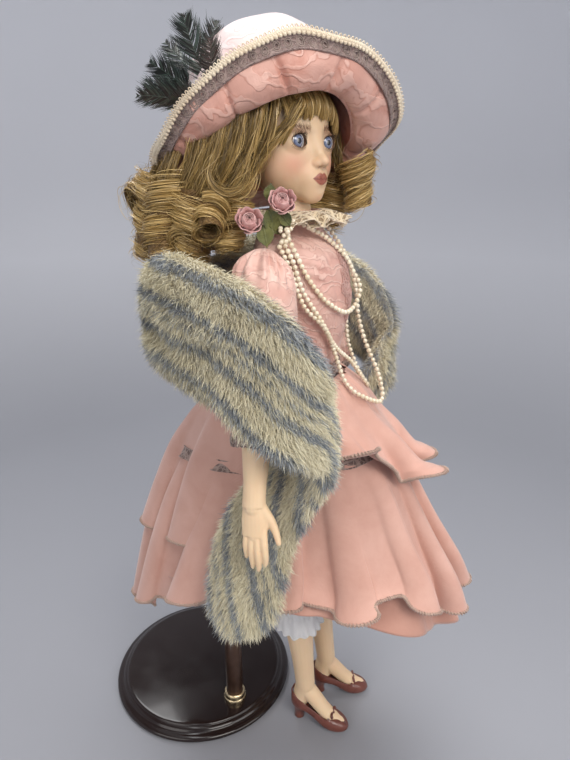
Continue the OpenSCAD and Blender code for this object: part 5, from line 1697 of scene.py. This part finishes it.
def lock(g, guide, wide, wide_dir, thick_dir, count, rng, taper=0.35, frizz=0.35, width=0.42, shade=0.0,
         twist=0.0):
    """A lock: many hairs that follow one guide, spread over an oval section, with lit and shaded copies of
    the hair colour painted across its thickness.
    """
    k = len(guide)
    s = np.linspace(0, 1, k)
    q = np.sqrt(rng.random(count))
    a = rng.random(count) * TAU
    u, v = q * np.cos(a), q * np.sin(a)
    spread = wide[0] * (1 - taper * s**2.2) * (0.75 + 0.25 * np.minimum(1, s / 0.12))
    deep = wide[1] * (1 - taper * s**2.2)
    tw = twist * s[None] * TAU
    uu = u[:, None] * np.cos(tw) - v[:, None] * np.sin(tw)
    vv = u[:, None] * np.sin(tw) + v[:, None] * np.cos(tw)
    ph = rng.random((count, 3)) * TAU
    fz = frizz * (0.4 + rng.random(count))[:, None]
    wob = np.sin(s[None] * (6 + 9 * rng.random(count))[:, None] + ph[:, :1])
    wob2 = np.sin(s[None] * (8 + 9 * rng.random(count))[:, None] + ph[:, 1:2])
    p = (guide[None] + wide_dir[None] * (uu * spread + fz * wob)[..., None]
         + thick_dir[None] * (vv * deep + fz * wob2)[..., None])
    end = np.clip(rng.uniform(0.82, 1.0, count), 0, 1)
    t = s[None] * end[:, None] * (k - 1)
    i = np.minimum(t.astype(int), k - 2)
    f = (t - i)[..., None]
    row = np.arange(count)[:, None]
    p = p[row, i] * (1 - f) + p[row, i + 1] * f
    w = width * np.where(s < 0.85, 1.0, 1 - 0.75 * (s - 0.85) / 0.15)
    vrt, fc = ribbons(p, w, unit(wide_dir.mean(0)[None] * 0.4 + rng.normal(size=(count, 3))))
    # painted light, with some random spread: hairs on one side of the lock's thickness take the pale
    # highlight and gold copies, those on the other side honey and shadow; shade shifts the lock towards the
    # pale side
    depth = v + 0.5 * rng.normal(size=count) + shade
    mat = np.where(depth > 0.62, 3, np.where(depth > 0.0, 0, np.where(depth > -0.7, 1, 2)))
    g.add(vrt, fc, np.repeat(mat, k - 1))


def ringlet(g, core, top, axis, radius, length, turns, start, rng, count, hand, shrink=0.12):
    """A sausage curl: a flat lock wound round an axis, over a hollow core coloured dark as painted shade."""
    axis = unit(np.array(axis, float))
    e1 = unit(np.cross(axis, [0.3, 0.9, 0.2] if abs(axis[2]) > 0.5 else [0, 0, 1.0]))
    e2 = np.cross(axis, e1)
    turns = max(1.6, turns * 0.72) if length > 22 else turns
    n = int(34 * turns)
    s = np.linspace(0, 1, n)
    a = start + hand * s * turns * TAU
    r = radius * (1 - shrink * s) * (1 + 0.05 * np.sin(5 * s + start)) * (0.9 + 0.1 * np.minimum(1, s * 6))
    radial = e1 * np.cos(a)[:, None] + e2 * np.sin(a)[:, None]
    sway = e1 * (1.6 * np.sin(5 * s + start))[:, None] + e2 * (1.6 * np.cos(4 * s + 2 * start))[:, None]
    r = r * (1 + 0.12 * np.sin(9 * s + 2 * start))
    path = (np.array(top, float) + axis * (s * length)[:, None] + radial * r[:, None]
            + sway * min(1, length / 30))
    pitch = length / turns
    wide = np.repeat(axis[None], n, 0)
    lock(g, path, (pitch * 0.48, 2.0), wide, radial, int(count * 1.25), rng, 0.35, 0.7)
    lock(g, path, (pitch * 0.6 + 1.2, 3.0), wide, radial, count // 3, rng, 0.2, 2.4, 0.28, 0.3)
    # under-surface, coloured dark as painted shade inside the curl, so that no light shows through
    a = np.linspace(0, TAU, 28, endpoint=False)
    s = np.linspace(0.02, 0.98, 16)
    r = radius * (1 - shrink * s) * 0.93
    v = ((np.array(top, float) + axis * (s * length)[:, None])[:, None]
         + (e1 * np.cos(a)[:, None] + e2 * np.sin(a)[:, None])[None] * r[:, None, None])
    core.add(v, quads(16, 28, False, True))


def make_hair():
    rng = np.random.default_rng(5)
    few = 1.0
    # wig cap under everything, from the brow line round the back, open at the face; coloured dark as painted
    # shade under the hairs
    g = Geo()
    th = np.linspace(-math.pi, math.pi, 150)[None]
    s = np.linspace(0, 1, 60)[:, None]
    low = np.where(np.abs(th) < 0.62, 0.30, np.where(np.abs(th) < 1.05, 0.30 - (np.abs(th) - 0.62) * 1.9,
                                                     -0.52 - 0.25 * np.clip(np.abs(th) - 1.05, 0, 1)))
    el = math.pi / 2 - s * (math.pi / 2 - low)
    r = 35.2 + 0.7 * np.sin(34 * th + 3 * np.sin(4 * s)) * s
    v = np.stack([np.sin(th) * np.cos(el) * r * 0.98, 4 - np.cos(th) * np.cos(el) * (r + 0.0),
                  5 + np.sin(el) * r], -1)
    cap = v
    g.add(at_head(v.reshape(-1, 3)), quads(60, 150))
    piece("wig_base", g, M["hair_shade_mass"], "head", ["wig_cap"])

    # hairs lying over the cap, from the crown down
    g = Geo()
    n = int(2600 * few)
    col = rng.uniform(0, 149, n)
    t = np.linspace(0, 1, 14)
    rows = (0.30 + 0.70 * t) * 59
    c0 = np.clip(col[:, None] + 2.5 * np.sin(3 * t[None] + rng.random((n, 1)) * TAU) * t[None], 0, 148.9)
    ci, cf = c0.astype(int), (c0 % 1)[..., None]
    ri, rf = np.minimum(rows.astype(int), 58), (rows % 1)[None, :, None]
    ri = np.broadcast_to(ri, c0.shape)
    pick = lambda i, j: cap[i, j]
    p = ((pick(ri, ci) * (1 - cf) + pick(ri, ci + 1) * cf) * (1 - rf)
         + (pick(ri + 1, ci) * (1 - cf) + pick(ri + 1, ci + 1) * cf) * rf)
    lift = 1 + (0.012 + 0.02 * rng.random((n, 1, 1)))
    centre = np.array([0, 4, 5.0])
    p = centre + (p - centre) * lift
    v, f = ribbons(at_head(p), 0.5, unit(rng.normal(size=(n, 3))))
    tone = noise3(np.stack([c0[:, 0], 0 * c0[:, 0], 0 * c0[:, 0]], -1) / 2.0, 61)
    roll = rng.random(n) + 0.35 * tone
    mat = np.where(roll > 0.85, 3, np.where(roll > 0.4, 0, np.where(roll > 0.05, 1, 2)))
    g.add(v, f, np.repeat(mat, 13))

    # fringe: full, combed down over the brow and turned under a little
    n = int(2300 * few)
    x = rng.uniform(-20.5, 20.5, n)
    layer = rng.random(n)
    t = np.linspace(0, 1, 12)[None]
    clump = np.round(x / 2.3) * 2.3
    end = (9.4 - 0.012 * x**2 + 1.1 * np.sin(clump * 2.1) + 0.7 * rng.normal(size=n)
           + np.clip(np.abs(x) - 14, 0, 9) * -1.6)
    start = 25.0 - 0.01 * x**2 + 2 * rng.random(n)
    z = start[:, None] + (end - start)[:, None] * t
    drift = (x[:, None] * (1 + 0.10 * t) + (clump - x)[:, None] * 0.55 * t**2
             + 0.6 * np.sin(3 * t + x[:, None]))
    dz = np.clip(z - 5, -32, 32)
    base = np.sqrt(np.clip(33.0**2 - dz**2 - (drift * 0.93) ** 2, 60, None))
    bulge = (2.6 + 2.2 * layer[:, None]) * np.sin(np.clip(t, 0, 1) * math.pi * 0.72 + 0.2) - 1.0 * t**3
    y = 3.2 - base - bulge * 1.0
    v, f = ribbons(at_head(np.stack([drift, y, z], -1)), np.linspace(0.5, 0.2, 12),
                   unit(rng.normal(size=(n, 3))))
    # painted light, with random spread: the outer, fuller-bulging layer of the fringe leans to the pale
    # highlight copy
    roll = layer + 0.4 * np.sin(clump * 1.7) + 0.3 * rng.normal(size=n)
    mat = np.where(roll > 1.0, 3, np.where(roll > 0.4, 0, np.where(roll > 0.0, 1, 2)))
    g.add(v, f, np.repeat(mat, 11))
    # backing for the fringe, coloured dark as painted shade under it
    xx = np.linspace(-20, 20, 50)[None]
    tt = np.linspace(0, 1, 16)[:, None]
    zz = 26 + (10.6 - 0.012 * xx**2 + 0.5 * np.sin(xx * 2.6) - np.clip(np.abs(xx) - 14, 0, 9) * 1.5
               - 26) * tt
    bb = np.sqrt(np.clip(33.0**2 - (zz - 5) ** 2 - (xx * 0.93) ** 2, 60, None))
    yy = 3.2 - bb - 2.0 * np.sin(tt * math.pi * 0.72 + 0.2)
    back = Geo().add(at_head(np.stack([xx + 0 * zz, yy, zz], -1).reshape(-1, 3)), quads(16, 50))
    piece("fringe_base", back, M["hair_shade_mass"], "head", ["fringe"])
    piece("hair_cap_and_fringe", g, [M[k] for k in HAIR], "head")

    # side locks: from under the brim down past the cheeks
    def side_locks(specs):
        g, core = Geo(), Geo()
        for pts, w, cnt in specs:
            guide = smooth_path(np.array(pts, float), 30)
            t, _, _ = frames(guide)
            ref = unit(np.array([0.2, 1.0, 0.0]) - t * (t @ np.array([0.2, 1.0, 0.0]))[:, None])
            lock(g, guide, w, ref, np.cross(t, ref), int(cnt * few), rng, 0.45, 0.6, 0.42)
            lock(g, guide, (w[0] * 1.35, w[1] * 1.5), ref, np.cross(t, ref), int(cnt * few * 0.18), rng,
                 0.2, 1.6, 0.28, 0.3)
            # dark core inside the lock: painted shade
            core.add(*tube(guide, np.linspace(w[1] * 0.7, w[1] * 0.35, 30), 8), 4)
        return g.join(core)

    near = [([(-19, -60, 453), (-24, -56, 444), (-27, -49.5, 436), (-29, -43, 428), (-30, -36, 419)],
             (2.8, 1.7), 150),
            ([(-24, -46, 457), (-29, -46, 441), (-29.5, -41, 428), (-29, -35, 417), (-30, -27, 408)],
             (3.4, 2.0), 170),
            ([(-27, -40, 458), (-33, -40, 443), (-34, -35, 429), (-34, -29, 417), (-35, -21, 407)],
             (4.2, 2.2), 200),
            ([(-29, -31, 457), (-36, -32, 443), (-38, -28, 429), (-38, -21, 416), (-37, -12, 405)],
             (4.8, 2.4), 210),
            ([(-30, -20, 455), (-37, -22, 442), (-40, -19, 428), (-40, -11, 414), (-37, -2, 402)],
             (5.0, 2.4), 210),
            ([(-28, -8, 452), (-36, -10, 440), (-40, -8, 426), (-40, 0, 412), (-35, 9, 400)], (5.0, 2.4),
             200),
            ([(-22, 4, 450), (-31, 4, 438), (-36, 8, 424), (-35, 15, 411), (-29, 22, 399)], (5.0, 2.4),
             190),
            ([(-14, 10, 446), (-22, 15, 436), (-26, 21, 422), (-24, 29, 409), (-18, 35, 398)], (5.0, 2.4),
             180),
            ([(-26, -26, 452), (-34, -27, 436), (-33, -30, 424), (-28, -30, 412), (-24, -26, 402)],
             (3.6, 2.0), 120)]
    far = [([(28, -60, 452), (33, -64, 440), (33, -66, 428), (35, -66, 418)], (3.6, 2.0), 120),
           ([(34, -52, 454), (39, -56, 442), (40, -58, 430), (42, -56, 418)], (4.4, 2.2), 140),
           ([(38, -42, 452), (43, -46, 440), (45, -46, 428), (46, -44, 416)], (4.8, 2.4), 140),
           ([(38, -28, 450), (44, -32, 438), (46, -32, 424), (46, -28, 410)], (4.8, 2.4), 130)]
    rear = [([(-4, 14, 444), (-8, 23, 432), (-9, 32, 418), (-6, 40, 406)], (5.0, 2.4), 130),
            ([(8, 12, 442), (8, 24, 431), (8, 34, 418), (10, 42, 405)], (5.0, 2.4), 130),
            ([(20, 8, 444), (23, 20, 432), (24, 31, 418), (24, 39, 404)], (5.0, 2.4), 130),
            ([(32, -2, 444), (37, 8, 432), (38, 20, 418), (37, 28, 402)], (5.0, 2.4), 130),
            ([(38, -14, 448), (44, -12, 436), (46, -6, 420), (44, 4, 406)], (5.0, 2.4), 120)]
    for specs, name in ((near, "side_locks_right"), (far, "side_locks_left"), (rear, "back_locks")):
        piece(name, side_locks(specs), [M[k] for k in HAIR + ["hair_shade_mass"]], "head")

    # curls: top, axis, radius, length, turns, start, hand
    right = [((-25, -21, 416), (-0.88, -0.36, 0.12), 11.2, 15, 2.4, 0.5, 1),
             ((-34, -4, 410), (-0.1, 0.1, -1), 9.2, 34, 2.9, 2.0, -1),
             ((-34, 11, 413), (-0.14, 0.1, -1), 10.2, 42, 3.4, 0.3, 1),
             ((-22, 25, 413), (-0.1, 0.16, -1), 10.5, 44, 3.4, 4.0, -1),
             ((-24, -24, 400), (-0.2, 0.15, -1), 7.6, 24, 2.3, 1.0, 1),
             ((-22, 2, 402), (0.0, 0.1, -1), 9.0, 34, 2.8, 5.0, -1),
             ((-14, 36, 408), (-0.75, 0.45, -0.3), 8.6, 14, 2.1, 2.5, 1),
             ((-36, -14, 402), (-0.6, -0.3, -0.7), 7.4, 18, 2.0, 3.2, -1),
             ((-13, 20, 402), (0, 0, -1), 9.0, 34, 2.8, 0.9, 1), ((-33, 2, 388), (-0.8, -0.2, -0.5), 7.6,
                                                                  12, 1.8, 0.2, 1)]
    left = [((31, -77, 424), (0.15, -0.15, -1), 8.4, 26, 2.4, 0.4, 1), ((42, -60, 420), (0.1, 0.0, -1), 9.2,
                                                                        34, 3.0, 2.2, -1),
            ((46, -36, 415), (0.08, 0.1, -1), 9.2, 34, 3.0, 4.1, 1), ((36, -50, 408), (0, 0, -1), 8.0, 26,
                                                                      2.4, 1.3, -1)]
    rear = [((-4, 36, 416), (-0.05, 0.1, -1), 10.0, 46, 3.6, 0.7, -1), ((15, 38, 416), (0.0, 0.08, -1),
                                                                        10.0, 46, 3.6, 2.8, 1),
            ((34, 28, 414), (0.1, 0.08, -1), 9.6, 42, 3.4, 4.6, -1), ((43, 9, 411), (0.1, 0.1, -1), 9.0, 36,
                                                                      3.0, 1.8, 1),
            ((5, 24, 404), (0, 0, -1), 9.5, 34, 2.8, 3.4, 1), ((25, 16, 404), (0, 0, -1), 9.5, 34, 2.8, 5.4,
                                                               -1)]
    for specs, name, node in ((right, "ringlets_right", "curls_right"),
                              (left, "ringlets_left", "curls_left"), (rear, "ringlets_back", "curls_back")):
        g, core = Geo(), Geo()
        for top, axis, r, ln, turns, start, hand in specs:
            ringlet(g, core, top, axis, r, ln, turns, start, rng, int(190 * few), hand)
        piece(name, g, [M[k] for k in HAIR], "head", [node])
        piece(name + "_core", core, M["hair_shade_mass"], "head")

    # stray hairs round the outline
    g = Geo()
    for c, rad, n in [((-30, 5, 405), 24, 70), ((10, 38, 402), 24, 60), ((44, -45, 410), 18, 45),
                      ((-32, -32, 430), 14, 40)]:
        n = int(n * few)
        d = unit(rng.normal(size=(n, 3)) * [1, 1, 0.8])
        b = np.array(c, float) + d * rad * rng.uniform(0.55, 0.8, (n, 1))
        d2 = unit(d * 0.5 + rng.normal(size=(n, 3)) * 0.5 + [0, 0, -0.5])
        t = np.linspace(0, 1, 10)[None, :, None]
        bend = unit(rng.normal(size=(n, 3)))[:, None]
        ln = rng.uniform(6, 14, (n, 1, 1))
        p = b[:, None] + d2[:, None] * ln * t + bend * ln * 0.45 * np.sin(t * 3.0)
        v, f = ribbons(p, np.linspace(0.24, 0.08, 10), unit(rng.normal(size=(n, 3))))
        g.add(v, f, np.repeat(rng.integers(0, 2, n) * 3, 9))
    piece("stray_hairs", g, [M[k] for k in HAIR], "head")


make_stage()
make_stand()
make_skirts()
make_bodice()
make_roses()
make_pearls()
make_fur()
make_hat()
make_feathers()
for side, side_name in ((-1, "right"), (1, "left")):
    make_arm(side, side_name)
    make_sleeve(side, side_name)
    make_leg(side_name)
make_head()
make_hair()
